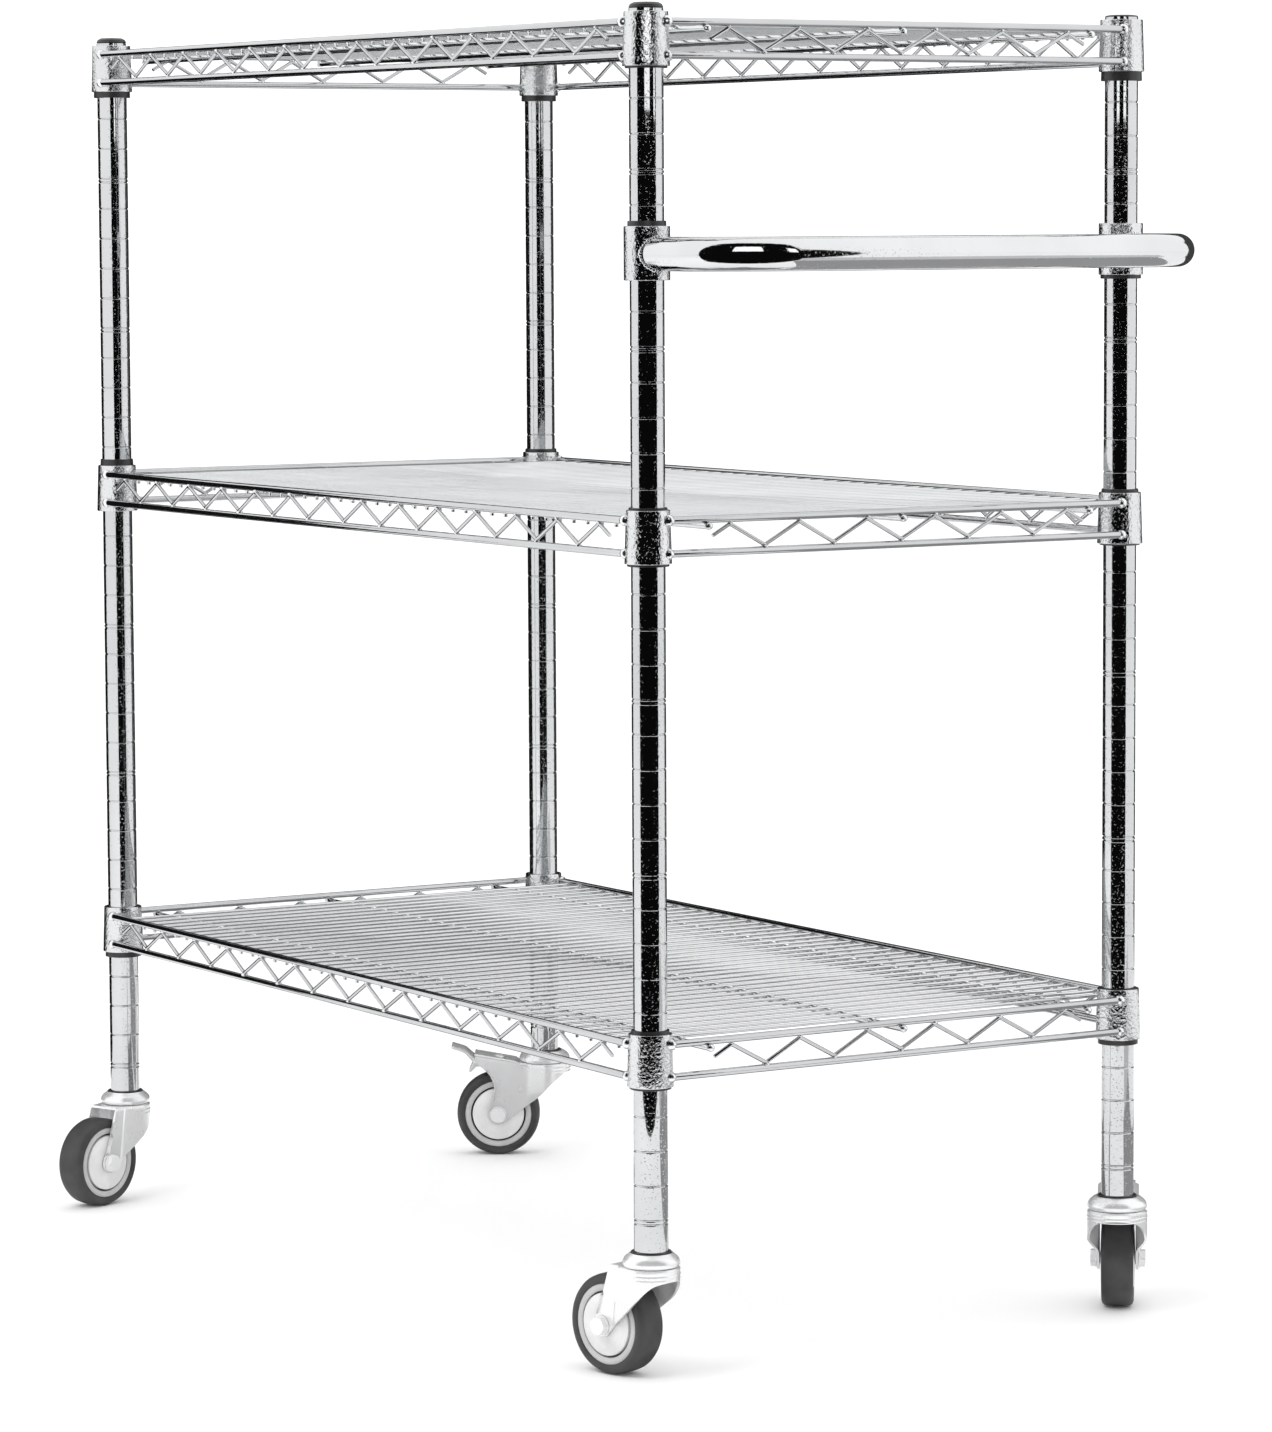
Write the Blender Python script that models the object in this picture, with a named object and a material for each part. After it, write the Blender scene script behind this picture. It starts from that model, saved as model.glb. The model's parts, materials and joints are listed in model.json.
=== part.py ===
"""A linen cart: three welded wire shelves on four tube posts, a push handle and four swivel casters.

Metres, +Z up.  +X is the handle end and +Y the right hand of the person who pushes it.
Heights below are from a level 4 mm above the floor, where the posts' drawing starts; the finished
cart is moved so that its origin lies on the floor, under the middle of its box.
"""

import math

import bmesh
import bpy
from mathutils import Matrix, Vector

# ---------------------------------------------------------------- driving dimensions, in metres
POST_SPACING_X = 0.870
POST_SPACING_Y = 0.422
POST_RADIUS = 0.0125
POST_WALL = 0.0012
POST_BOTTOM = 0.091
POST_TOP = 0.992
ROUND_SIDES = 12
HOLLOW_SIDES = 8
WIRE_SIDES = 6
THIN_WIRE_SIDES = 4
GAP = 0.0003
CUT_PAST = 0.001

COLLAR_HEIGHT = 0.039
COLLAR_RADIUS_TOP = 0.0160
COLLAR_RADIUS_BOTTOM = 0.01725
COLLAR_WALL = 0.00165
SHELF_HEIGHTS = {"top": 0.990, "middle": 0.633, "bottom": 0.252}

ROD_RADIUS = 0.0028
ROD_OFFSET = 0.014
ROD_BELOW_COLLAR_TOP = 0.0075
ROD_PAIR_SPACING = 0.024
ROD_END_FROM_POST = 0.0097

TRUSS_RADIUS = 0.0015
TRUSS_PITCH = 0.060
TRUSS_BITE = 0.0004
LONG_SIDE_PEAKS = 14
SHORT_SIDE_PEAKS = 6

DECK_WIRE_RADIUS = 0.0015
DECK_WIRE_PITCH = 0.020
DECK_WIRES = 42
SUPPORT_RADIUS = 0.0025
SUPPORT_PLACES = (-0.170, 0.0, 0.170)
DECK_BELOW_RODS = 0.0013
WELD_BITE = 0.0006

CAP_HEIGHT = 0.0045
CAP_PLUG_DEPTH = 0.014

HANDLE_COLLAR_TOP = 0.837
HANDLE_COLLAR_RADIUS = 0.01675
HANDLE_TUBE_RADIUS = 0.0123
HANDLE_TUBE_WALL = 0.0015
HANDLE_AXIS_HEIGHT = 0.8170
HANDLE_REACH = 0.108
HANDLE_BEND_RADIUS = 0.055
HANDLE_BEND_STEPS = 5
DRAIN_HOLE_RADIUS = 0.002
DRAIN_HOLE_FROM_POST = 0.035

WHEEL_RADIUS = 0.0375
AXLE_HEIGHT = 0.0335
WHEEL_WIDTH = 0.025
WHEEL_SIDES = 24
HUB_RADIUS = 0.0300
GUARD_RADIUS = 0.0238
BOLT_RADIUS = 0.0040
BOLT_HEAD_RADIUS = 0.0075
BOLT_HALF_LENGTH = 0.0215
BOLT_SHOWS = 0.001
BUSHING_RADIUS = 0.0052
BUSHING_HALF_LENGTH = 0.0137
FORK_WALL = 0.0020
FORK_LEG_OUTER = 0.0160
FORK_FOLD_SHARE = 0.475
FORK_BOSS_RADIUS = 0.0085
FORK_TOP = 0.0800
ROOF_STEP = 0.0022
ROOF_RISE = 0.0088
HEAD_TOP = 0.0906
HEAD_RECESS = 0.0040
HEAD_LIP_RADIUS = 0.0150
KINGPIN_RADIUS = 0.0050
KINGPIN_BELOW_FORK = 0.0022
STEM_NECK_RADIUS = 0.0100
STEM_INSERT_HEIGHT = 0.034
BRAKE_TRAVEL = math.radians(18)
PEDAL_WIDTH = 0.0260

# How far each sleeve shows above and below its collar, by level and corner.
SLEEVE_SHOWS = {
    "top": {
        "front_left": (0, 0.0050),
        "front_right": (0, 0.0050),
        "rear_left": (0, 0.0015),
        "rear_right": (0, 0.0070),
    },
    "middle": {
        "front_left": (0.0053, 0),
        "front_right": (0.0030, 0),
        "rear_left": (0.0018, 0.0018),
        "rear_right": (0.0026, 0.0012),
    },
    "bottom": {
        "front_left": (0, 0.0045),
        "front_right": (0, 0.0040),
        "rear_left": (0.0027, 0.0018),
        "rear_right": (0.0008, 0.0040),
    },
    "handle": {
        "rear_left": (0.0037, 0),
        "rear_right": (0, 0.0029),
    },
}
SLEEVE_SHORT = 0.0008

# Corner: which way it lies from the cart's middle in X and Y.
CORNERS = {
    "rear_left": (1, -1),
    "rear_right": (1, 1),
    "front_left": (-1, -1),
    "front_right": (-1, 1),
}

# Caster at rest: the direction in which the wheel trails, its trail, and whether it has a brake.
CASTERS = {
    "rear_left": {"trails": (-0.972, -0.236), "trail": 0.0355, "head": 0.0210, "brake": None},
    "front_left": {"trails": (0.350, -0.937), "trail": 0.0355, "head": 0.0210, "brake": None},
    "rear_right": {"trails": (-0.793, 0.609), "trail": 0.0420, "head": 0.0228, "brake": BRAKE_TRAVEL},
    "front_right": {"trails": (-0.523, -0.853), "trail": 0.0420, "head": 0.0228, "brake": 0.0},
}
BRAKE_PIVOT = (-0.0570, 0.0815)


def clear_scene():
    for obj in list(bpy.data.objects):
        bpy.data.objects.remove(obj)


def finish(name, colour, roughness, metallic):
    made = bpy.data.materials.new(name)
    made.use_nodes = True
    shader = made.node_tree.nodes["Principled BSDF"]
    shader.inputs["Base Color"].default_value = (*colour, 1)
    shader.inputs["Roughness"].default_value = roughness
    shader.inputs["Metallic"].default_value = metallic
    return made


def axis_empty(name, parent, location, turn=(0, 0, 0)):
    empty = bpy.data.objects.new(name, None)
    bpy.context.collection.objects.link(empty)
    empty.parent = parent
    empty.location = location
    empty.rotation_euler = turn
    return empty


def solid(name, shape, parent, material, location=(0, 0, 0)):
    """One object from a bmesh, shaded smooth except across its edges."""
    mesh = bpy.data.meshes.new(name)
    bmesh.ops.recalc_face_normals(shape, faces=shape.faces)
    shape.to_mesh(mesh)
    shape.free()
    made = bpy.data.objects.new(name, mesh)
    bpy.context.collection.objects.link(made)
    made.parent = parent
    made.location = location
    made.data.materials.append(material)
    made.data.shade_smooth()
    made.data.set_sharp_from_angle(angle=math.radians(35))
    return made


def combined(base, shape, operation):
    """Joins a bmesh to an object, or cuts the object with it."""
    tool = solid(base.name + "_tool", shape, base.parent, base.data.materials[0], base.location)
    step = base.modifiers.new("step", "BOOLEAN")
    step.operation = operation
    step.solver = "EXACT"
    step.use_self = operation == "UNION"
    step.object = tool
    graph = bpy.context.evaluated_depsgraph_get()
    result = bpy.data.meshes.new_from_object(base.evaluated_get(graph))
    base.modifiers.clear()
    base.data = result
    bpy.data.objects.remove(tool)
    return base


# ---------------------------------------------------------------- shapes
def turned(profile, sides=ROUND_SIDES, closed=False, into=None, turn=None):
    """A solid turned about Z from (radius, height) points; closed joins the last point to the first."""
    shape = into or bmesh.new()
    corners = [shape.verts.new((radius, 0, height)) for radius, height in profile]
    edges = [shape.edges.new(pair) for pair in zip(corners, corners[1:])]
    if closed:
        edges.append(shape.edges.new((corners[-1], corners[0])))
    before = set(shape.verts) - set(corners)
    whole = {"axis": (0, 0, 1), "angle": 2 * math.pi, "steps": sides, "use_merge": True}
    bmesh.ops.spin(shape, geom=corners + edges, **whole)
    made = [v for v in shape.verts if v not in before]
    bmesh.ops.remove_doubles(shape, verts=made, dist=1e-6)
    if turn is not None:
        made = [v for v in shape.verts if v not in before]
        bmesh.ops.transform(shape, matrix=turn, verts=made)
    return shape


def swept(shape, points, normal, radius, sides, turn=0.0):
    """Adds a bar along a flat path of points; normal stands square to the path's plane.

    turn is the share of one side by which the bar's section is turned about its line.
    """
    points = [Vector(p) for p in points]
    normal = Vector(normal).normalized()
    rings = []
    for i, point in enumerate(points):
        into = (point - points[max(i - 1, 0)]).normalized() if i else (points[1] - point).normalized()
        out = (points[i + 1] - point).normalized() if i < len(points) - 1 else into
        across = (normal.cross(into) + normal.cross(out)).normalized()
        stretch = 1 / across.dot(normal.cross(into))
        ring = []
        for k in range(sides):
            angle = 2 * math.pi * (k + turn) / sides
            side = across * (math.cos(angle) * stretch) + normal * math.sin(angle)
            ring.append(shape.verts.new(point + side * radius))
        rings.append(ring)
    for low, high in zip(rings, rings[1:]):
        for k in range(sides):
            shape.faces.new((low[k], low[(k + 1) % sides], high[(k + 1) % sides], high[k]))
    shape.faces.new(rings[0][::-1])
    shape.faces.new(rings[-1])
    return shape


def extruded(outline, low, high, axis):
    """A prism: an outline in the plane square to the axis, between two heights along it."""
    shape = bmesh.new()
    place = {"Y": lambda a, b, c: (a, c, b), "Z": lambda a, b, c: (a, b, c)}[axis]
    base = shape.faces.new([shape.verts.new(place(a, b, low)) for a, b in outline])
    grown = bmesh.ops.extrude_face_region(shape, geom=[base])
    moved = [v for v in grown["geom"] if isinstance(v, bmesh.types.BMVert)]
    bmesh.ops.translate(shape, vec=place(0, 0, high - low), verts=moved)
    return shape


def arc(centre, radius, start, end, steps):
    """Points on an arc, its angles in degrees."""
    angles = [math.radians(start + (end - start) * i / steps) for i in range(steps + 1)]
    return [(centre[0] + radius * math.cos(a), centre[1] + radius * math.sin(a)) for a in angles]


# ---------------------------------------------------------------- posts and what sits on them
def post_profile():
    inner = POST_RADIUS - POST_WALL
    return [(POST_RADIUS, POST_BOTTOM), (POST_RADIUS, POST_TOP), (inner, POST_TOP), (inner, POST_BOTTOM)]


def cap_profile():
    plug = POST_RADIUS - POST_WALL - GAP
    rest = POST_TOP + GAP
    return [
        (0, rest - CAP_PLUG_DEPTH),
        (plug, rest - CAP_PLUG_DEPTH),
        (plug, rest),
        (POST_RADIUS, rest),
        (POST_RADIUS, rest + 0.4 * CAP_HEIGHT),
        (0.7 * POST_RADIUS, rest + CAP_HEIGHT),
        (0, rest + CAP_HEIGHT),
    ]


def collar_radii(height_below_top):
    share = height_below_top / COLLAR_HEIGHT
    outer = COLLAR_RADIUS_TOP + share * (COLLAR_RADIUS_BOTTOM - COLLAR_RADIUS_TOP)
    return outer, outer - COLLAR_WALL


def sleeve_profile(top, above, below):
    """A tapered sleeve that fills the space between post and collar, in a collar whose top is given."""
    reach_up = above or -SLEEVE_SHORT
    reach_down = below or -SLEEVE_SHORT
    inner = POST_RADIUS + GAP
    high = collar_radii(-reach_up)[1] - GAP
    low = collar_radii(COLLAR_HEIGHT + reach_down)[1] - GAP
    bottom = top - COLLAR_HEIGHT - reach_down
    return [(inner, bottom), (low, bottom), (high, top + reach_up), (inner, top + reach_up)]


def build_posts(posts, chrome, black):
    for corner, empty in posts.items():
        solid("post_" + corner, turned(post_profile(), closed=True), empty, chrome)
        solid("post_cap_" + corner, turned(cap_profile()), empty, black)


def build_sleeves(posts, black):
    tops = {**SHELF_HEIGHTS, "handle": HANDLE_COLLAR_TOP}
    for level, shows in SLEEVE_SHOWS.items():
        for corner, (above, below) in shows.items():
            profile = sleeve_profile(tops[level], above, below)
            solid(f"sleeve_{level}_{corner}", turned(profile, closed=True), posts[corner], black)


# ---------------------------------------------------------------- shelves
def zigzag(peaks, length_axis, side, top, bottom):
    """Points of one truss wire: half a stub, then peak and valley in turn, then half a stub."""
    high = top - ROD_RADIUS - TRUSS_RADIUS + TRUSS_BITE
    low = bottom + ROD_RADIUS + TRUSS_RADIUS - TRUSS_BITE
    first = -(peaks - 1) / 2 * TRUSS_PITCH
    stub = TRUSS_PITCH / 4
    middle = (high + low) / 2
    path = [(first - stub, middle)]
    for peak in range(peaks):
        place = first + peak * TRUSS_PITCH
        path += [(place, high), (place + TRUSS_PITCH / 2, low)]
    path[-1] = (stub - first, middle)
    if length_axis == "X":
        return [(along, side, height) for along, height in path]
    return [(side, along, height) for along, height in path]


def build_shelf_frame(level, root, chrome):
    collar_top = SHELF_HEIGHTS[level]
    top = collar_top - ROD_BELOW_COLLAR_TOP
    bottom = top - ROD_PAIR_SPACING
    half_x, half_y = POST_SPACING_X / 2, POST_SPACING_Y / 2
    collars = bmesh.new()
    for x, y in CORNERS.values():
        high, low = collar_radii(0), collar_radii(COLLAR_HEIGHT)
        floor = collar_top - COLLAR_HEIGHT
        profile = [(low[0], floor), (high[0], collar_top), (high[1], collar_top), (low[1], floor)]
        place = Matrix.Translation((x * half_x, y * half_y, 0))
        turned(profile, closed=True, into=collars, turn=place)
    frame = solid("shelf_frame_" + level, collars, root, chrome)

    rods = bmesh.new()
    end_x, end_y = half_x - ROD_END_FROM_POST, half_y - ROD_END_FROM_POST
    for height in (top, bottom):
        for side in (-1, 1):
            y = side * (half_y + ROD_OFFSET)
            x = side * (half_x + ROD_OFFSET)
            long_rod = [(-end_x, y, height), (end_x, y, height)]
            short_rod = [(x, -end_y, height), (x, end_y, height)]
            swept(rods, long_rod, (0, 1, 0), ROD_RADIUS, WIRE_SIDES, turn=0.5)
            swept(rods, short_rod, (1, 0, 0), ROD_RADIUS, WIRE_SIDES, turn=0.5)
    combined(frame, rods, "UNION")

    trusses = bmesh.new()
    for side in (-1, 1):
        y = side * (half_y + ROD_OFFSET)
        x = side * (half_x + ROD_OFFSET)
        long_wire = zigzag(LONG_SIDE_PEAKS, "X", y, top, bottom)
        short_wire = zigzag(SHORT_SIDE_PEAKS, "Y", x, top, bottom)
        swept(trusses, long_wire, (0, 1, 0), TRUSS_RADIUS, THIN_WIRE_SIDES)
        swept(trusses, short_wire, (1, 0, 0), TRUSS_RADIUS, THIN_WIRE_SIDES)
    combined(frame, trusses, "UNION")


def build_deck(level, root, chrome):
    rod_height = SHELF_HEIGHTS[level] - ROD_BELOW_COLLAR_TOP
    wire_height = rod_height - DECK_BELOW_RODS
    support_height = wire_height - DECK_WIRE_RADIUS - SUPPORT_RADIUS + WELD_BITE
    reach_x = POST_SPACING_X / 2 + ROD_OFFSET - ROD_RADIUS - GAP
    reach_y = POST_SPACING_Y / 2 + ROD_OFFSET - ROD_RADIUS - GAP
    supports = bmesh.new()
    for y in SUPPORT_PLACES:
        ends = [(-reach_x, y, support_height), (reach_x, y, support_height)]
        swept(supports, ends, (0, 1, 0), SUPPORT_RADIUS, THIN_WIRE_SIDES)
    deck = solid("shelf_deck_" + level, supports, root, chrome)
    wires = bmesh.new()
    for number in range(DECK_WIRES):
        x = (number - (DECK_WIRES - 1) / 2) * DECK_WIRE_PITCH
        ends = [(x, -reach_y, wire_height), (x, reach_y, wire_height)]
        swept(wires, ends, (1, 0, 0), DECK_WIRE_RADIUS, THIN_WIRE_SIDES)
    combined(deck, wires, "UNION")


# ---------------------------------------------------------------- push handle
def handle_path(overlap):
    """The tube's centre line in plan, from one collar out, round two bends and back to the other collar."""
    post_x, post_y = POST_SPACING_X / 2, POST_SPACING_Y / 2
    start = post_x + HANDLE_COLLAR_RADIUS - overlap
    bend_x = post_x + HANDLE_REACH - HANDLE_BEND_RADIUS
    bend_y = post_y - HANDLE_BEND_RADIUS
    path = [(start, -post_y)]
    path += arc((bend_x, -bend_y), HANDLE_BEND_RADIUS, -90, 0, HANDLE_BEND_STEPS)
    path += arc((bend_x, bend_y), HANDLE_BEND_RADIUS, 0, 90, HANDLE_BEND_STEPS)
    path.append((start, post_y))
    return [(x, y, HANDLE_AXIS_HEIGHT) for x, y in path]


def build_handle(root, chrome):
    """The tube is hollow, with a drain hole under each arm for the plating bath."""
    post_x, post_y = POST_SPACING_X / 2, POST_SPACING_Y / 2
    floor, top = HANDLE_COLLAR_TOP - COLLAR_HEIGHT, HANDLE_COLLAR_TOP
    into_collar, short_of_collar = 0.0035, -0.0015
    tube = swept(bmesh.new(), handle_path(into_collar), (0, 0, 1), HANDLE_TUBE_RADIUS, ROUND_SIDES)
    handle = solid("push_handle", tube, root, chrome)
    collars, bores = bmesh.new(), bmesh.new()
    high, low = collar_radii(-CUT_PAST)[1], collar_radii(COLLAR_HEIGHT + CUT_PAST)[1]
    radius = HANDLE_COLLAR_RADIUS
    outside = [(0, floor), (radius, floor), (radius, top), (0, top)]
    bore = [(0, floor - CUT_PAST), (low, floor - CUT_PAST), (high, top + CUT_PAST), (0, top + CUT_PAST)]
    for side in (-1, 1):
        place = Matrix.Translation((post_x, side * post_y, 0))
        turned(outside, into=collars, turn=place)
        turned(bore, into=bores, turn=place)
    combined(handle, collars, "UNION")
    combined(handle, bores, "DIFFERENCE")
    inside = HANDLE_TUBE_RADIUS - HANDLE_TUBE_WALL
    hollow = swept(bmesh.new(), handle_path(short_of_collar), (0, 0, 1), inside, HOLLOW_SIDES)
    combined(handle, hollow, "DIFFERENCE")
    drains = bmesh.new()
    for side in (-1, 1):
        at = Vector((post_x + DRAIN_HOLE_FROM_POST, side * post_y, HANDLE_AXIS_HEIGHT))
        ends = [at - Vector((0, 0, HANDLE_TUBE_RADIUS + CUT_PAST)), at - Vector((0, 0, inside / 2))]
        swept(drains, ends, (1, 0, 0), DRAIN_HOLE_RADIUS, WIRE_SIDES)
    combined(handle, drains, "DIFFERENCE")


# ---------------------------------------------------------------- casters
def stem_profile():
    """The insert that grips the inside of the post, with the kingpin below it."""
    insert = POST_RADIUS - POST_WALL - GAP
    lead_in = 0.001
    top = POST_BOTTOM + STEM_INSERT_HEIGHT
    pin_foot = FORK_TOP - FORK_WALL - KINGPIN_BELOW_FORK
    neck_foot = HEAD_TOP - HEAD_RECESS + GAP
    return [
        (0, pin_foot),
        (KINGPIN_RADIUS, pin_foot),
        (KINGPIN_RADIUS, neck_foot),
        (STEM_NECK_RADIUS, neck_foot),
        (STEM_NECK_RADIUS, POST_BOTTOM - GAP),
        (insert, POST_BOTTOM + lead_in),
        (insert, top),
        (0, top),
    ]


def head_profile(radius):
    """The domed race housing round the kingpin, open at the top round the stem's neck."""
    bore = KINGPIN_RADIUS + GAP
    foot = FORK_TOP + GAP
    seat = HEAD_TOP - HEAD_RECESS
    waist, shoulder = foot + 0.0030, foot + 0.0070
    return [
        (bore, foot),
        (radius, foot),
        (radius + 0.0005, waist),
        (radius - 0.0015, shoulder),
        (HEAD_LIP_RADIUS + 0.0015, HEAD_TOP),
        (HEAD_LIP_RADIUS, HEAD_TOP),
        (HEAD_LIP_RADIUS - 0.0020, seat),
        (bore, seat),
    ]


def fork_plan(trail, radius, inset, rear):
    """Half-round round the swivel, then tapering to two flat legs, seen from above."""
    leg = FORK_LEG_OUTER - inset
    fold = -FORK_FOLD_SHARE * trail
    front = arc((0, 0), radius - inset, -90, 90, 10)
    return front + [(fold, leg), (rear, leg), (rear, -leg), (fold, -leg)]


def fork_outline(trail, radius, braked):
    """The fork from the side: what is kept of the shell."""
    past, above = radius + 0.002, FORK_TOP + 0.011
    front = [(past, 0.0702), (radius - 0.006, 0.0675), (0.0043, 0.0566), (-0.0085, 0.0461)]
    foot = arc((-trail, AXLE_HEIGHT), FORK_BOSS_RADIUS, -50, -180, 6)
    if braked:
        rear = [(-0.0446, 0.0581), (-0.0480, 0.0691), (-0.0550, 0.0756), (-0.0606, 0.0789)]
        return front + foot + rear + [(-0.0620, 0.0845), (-0.0640, above), (past, above)]
    return front + foot + [(-0.0275, above), (past, above)]


def build_fork(name, trail, radius, braked, parent, material):
    """A bent plate: a block cut to its roof line, hollowed, trimmed to its outline and drilled."""
    rear = -0.070 if braked else -0.050
    front, back, high, wide = radius + 0.01, -0.080, 0.120, 0.05
    foot, brow = 0.016, FORK_TOP + 0.012
    block = extruded(fork_plan(trail, radius, 0, rear), foot, brow, "Z")
    shell = solid(name, block, parent, material)

    step = FORK_TOP + (ROOF_STEP if braked else 0)
    tail = step + (ROOF_RISE if braked else 0)
    roof = [(front, FORK_TOP), (-radius - 0.001, FORK_TOP), (-radius - 0.003, step), (back, tail)]
    above = roof + [(back, high), (front, high)]
    combined(shell, extruded(above, -wide, wide, "Y"), "DIFFERENCE")

    under = [(x, z - FORK_WALL) for x, z in roof] + [(back, high), (front, high)]
    inside = extruded(fork_plan(trail, radius, FORK_WALL, rear - 0.01), foot - 0.01, brow, "Z")
    room = solid(name + "_room", inside, parent, material)
    combined(room, extruded(under, -wide, wide, "Y"), "DIFFERENCE")
    hollow = bmesh.new()
    hollow.from_mesh(room.data)
    bpy.data.objects.remove(room)
    combined(shell, hollow, "DIFFERENCE")

    combined(shell, extruded(fork_outline(trail, radius, braked), -wide, wide, "Y"), "INTERSECT")
    holes = bmesh.new()
    axle = [(-trail, side * wide, AXLE_HEIGHT) for side in (-1, 1)]
    kingpin = [(0, 0, FORK_TOP + side * 0.005) for side in (-1, 1)]
    swept(holes, axle, (1, 0, 0), BOLT_RADIUS + GAP, ROUND_SIDES)
    swept(holes, kingpin, (1, 0, 0), KINGPIN_RADIUS + 2 * GAP, ROUND_SIDES)
    combined(shell, holes, "DIFFERENCE")


def along_axle(trail):
    """Turns a shape made about Z to lie about the axle."""
    return Matrix.Translation((-trail, 0, AXLE_HEIGHT)) @ Matrix.Rotation(math.radians(90), 4, "X")


def bolt_shape(trail):
    """Axle bolt: its six-sided head and nut, and the shank that joins them."""
    grip, head = FORK_LEG_OUTER + GAP, BOLT_HALF_LENGTH
    nut = head - BOLT_SHOWS
    axle = along_axle(trail)
    ends = turned(cylinder(BOLT_HEAD_RADIUS, -head, -grip), 6, turn=axle)
    turned(cylinder(BOLT_HEAD_RADIUS, grip, nut), 6, into=ends, turn=axle)
    return ends, turned(cylinder(BOLT_RADIUS, BOLT_SHOWS - head, head), ROUND_SIDES, turn=axle)


def cylinder(radius, low, high):
    return [(0, low), (radius, low), (radius, high), (0, high)]


def bushing_profile():
    inner, outer, half = BOLT_RADIUS + GAP, BUSHING_RADIUS, BUSHING_HALF_LENGTH
    return [(inner, -half), (outer, -half), (outer, half), (inner, half)]


def hub_profile():
    """The wheel's centre: a thread guard at each side, and the rim that carries the tyre."""
    guard_half, rim_half = 0.0130, 0.0118
    side = [(BUSHING_RADIUS + GAP, guard_half), (GUARD_RADIUS, guard_half), (HUB_RADIUS - GAP, rim_half)]
    return [(radius, -half) for radius, half in side] + side[::-1]


def tyre_profile():
    """Flats of the faceted tyre lie at the wheel's true radius."""
    outer = WHEEL_RADIUS / math.cos(math.pi / WHEEL_SIDES)
    half, shoulder, foot_inset = WHEEL_WIDTH / 2, 0.0042, 0.0006
    side = [(HUB_RADIUS, half - foot_inset), (WHEEL_RADIUS - shoulder, half), (outer, half - shoulder)]
    return [(radius, -height) for radius, height in side] + side[::-1]


def pedal_shape():
    """The brake pedal about its pivot: a lever that rises to the rear, and a shoe that hangs below."""
    lever_top = [(0.0035, -0.0020), (0.0015, 0.0010), (-0.0065, 0.0026), (-0.0098, 0.0054)]
    lever_end = [(-0.0135, 0.0102), (-0.0270, 0.0146), (-0.0275, 0.0118), (-0.0155, 0.0076)]
    lever_foot = [(-0.0122, 0.0034), (-0.0080, -0.0006)]
    shoe = [(-0.0135, -0.0125), (-0.0116, -0.0135), (-0.0045, -0.0048), (0.0, -0.0048)]
    half = PEDAL_WIDTH / 2
    return extruded(lever_top + lever_end + lever_foot + shoe, -half, half, "Y")


def build_caster(corner, post, steel, grey, rubber, black):
    plan = CASTERS[corner]
    trail, radius, brake = plan["trail"], plan["head"], plan["brake"]
    heading = math.atan2(-plan["trails"][1], -plan["trails"][0])
    solid("caster_stem_" + corner, turned(stem_profile()), post, steel)
    solid("caster_head_" + corner, turned(head_profile(radius), closed=True), post, steel)
    swivel = axis_empty("swivel_axis_" + corner, post, (0, 0, 0), (0, 0, heading))
    build_fork("caster_fork_" + corner, trail, radius, brake is not None, swivel, steel)

    ends, shank = bolt_shape(trail)
    bolt = solid("axle_bolt_" + corner, ends, swivel, steel)
    combined(bolt, shank, "UNION")
    bushing = turned(bushing_profile(), closed=True, turn=along_axle(trail))
    solid("axle_bushing_" + corner, bushing, swivel, black)

    centre, on_side = (-trail, 0, AXLE_HEIGHT), (math.radians(90), 0, 0)
    spin = axis_empty("wheel_axis_" + corner, swivel, centre, on_side)
    upright = Matrix.Rotation(math.pi / WHEEL_SIDES + math.radians(90), 4, "Z")
    hub = turned(hub_profile(), WHEEL_SIDES, closed=True, turn=upright)
    tyre = turned(tyre_profile(), WHEEL_SIDES, closed=True, turn=upright)
    solid("wheel_hub_" + corner, hub, spin, grey)
    solid("tyre_" + corner, tyre, spin, rubber)
    if brake is not None:
        hinge = (BRAKE_PIVOT[0], 0, BRAKE_PIVOT[1])
        pivot = axis_empty("pedal_axis_" + corner, swivel, hinge, (0, -brake, 0))
        solid("brake_pedal_" + corner, pedal_shape(), pivot, steel)


def rest_on_origin(root):
    """Moves the cart so that the origin is under the middle of its box, on the floor."""
    bpy.context.view_layer.update()
    meshes = [obj for obj in bpy.data.objects if obj.type == "MESH"]
    corners = [obj.matrix_world @ vertex.co for obj in meshes for vertex in obj.data.vertices]
    for k in (0, 1):
        root.location[k] -= (min(p[k] for p in corners) + max(p[k] for p in corners)) / 2
    root.location[2] -= min(p[2] for p in corners)


def main():
    clear_scene()
    chrome = finish("bright_chrome", (0.80, 0.81, 0.82), 0.08, 1.0)
    zinc = finish("zinc_plated_steel", (0.72, 0.73, 0.75), 0.25, 1.0)
    grey = finish("grey_plastic", (0.62, 0.62, 0.62), 0.45, 0.0)
    rubber = finish("grey_rubber", (0.07, 0.07, 0.07), 0.70, 0.0)
    black = finish("black_plastic", (0.02, 0.02, 0.02), 0.40, 0.0)

    root = axis_empty("cart", None, (0, 0, 0))
    posts = {}
    for corner, (x, y) in CORNERS.items():
        place = (x * POST_SPACING_X / 2, y * POST_SPACING_Y / 2, 0)
        posts[corner] = axis_empty("post_axis_" + corner, root, place)
    build_posts(posts, chrome, black)
    build_sleeves(posts, black)
    for level in SHELF_HEIGHTS:
        build_shelf_frame(level, root, chrome)
        build_deck(level, root, chrome)
    build_handle(root, chrome)
    for corner, post in posts.items():
        build_caster(corner, post, zinc, grey, rubber, black)
    rest_on_origin(root)


main()
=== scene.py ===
"""The looks of a wire linen cart: chromed posts, shelves and handle, and four swivel casters."""
import json
import math

import bmesh
import bpy
from mathutils import Matrix, Vector


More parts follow.
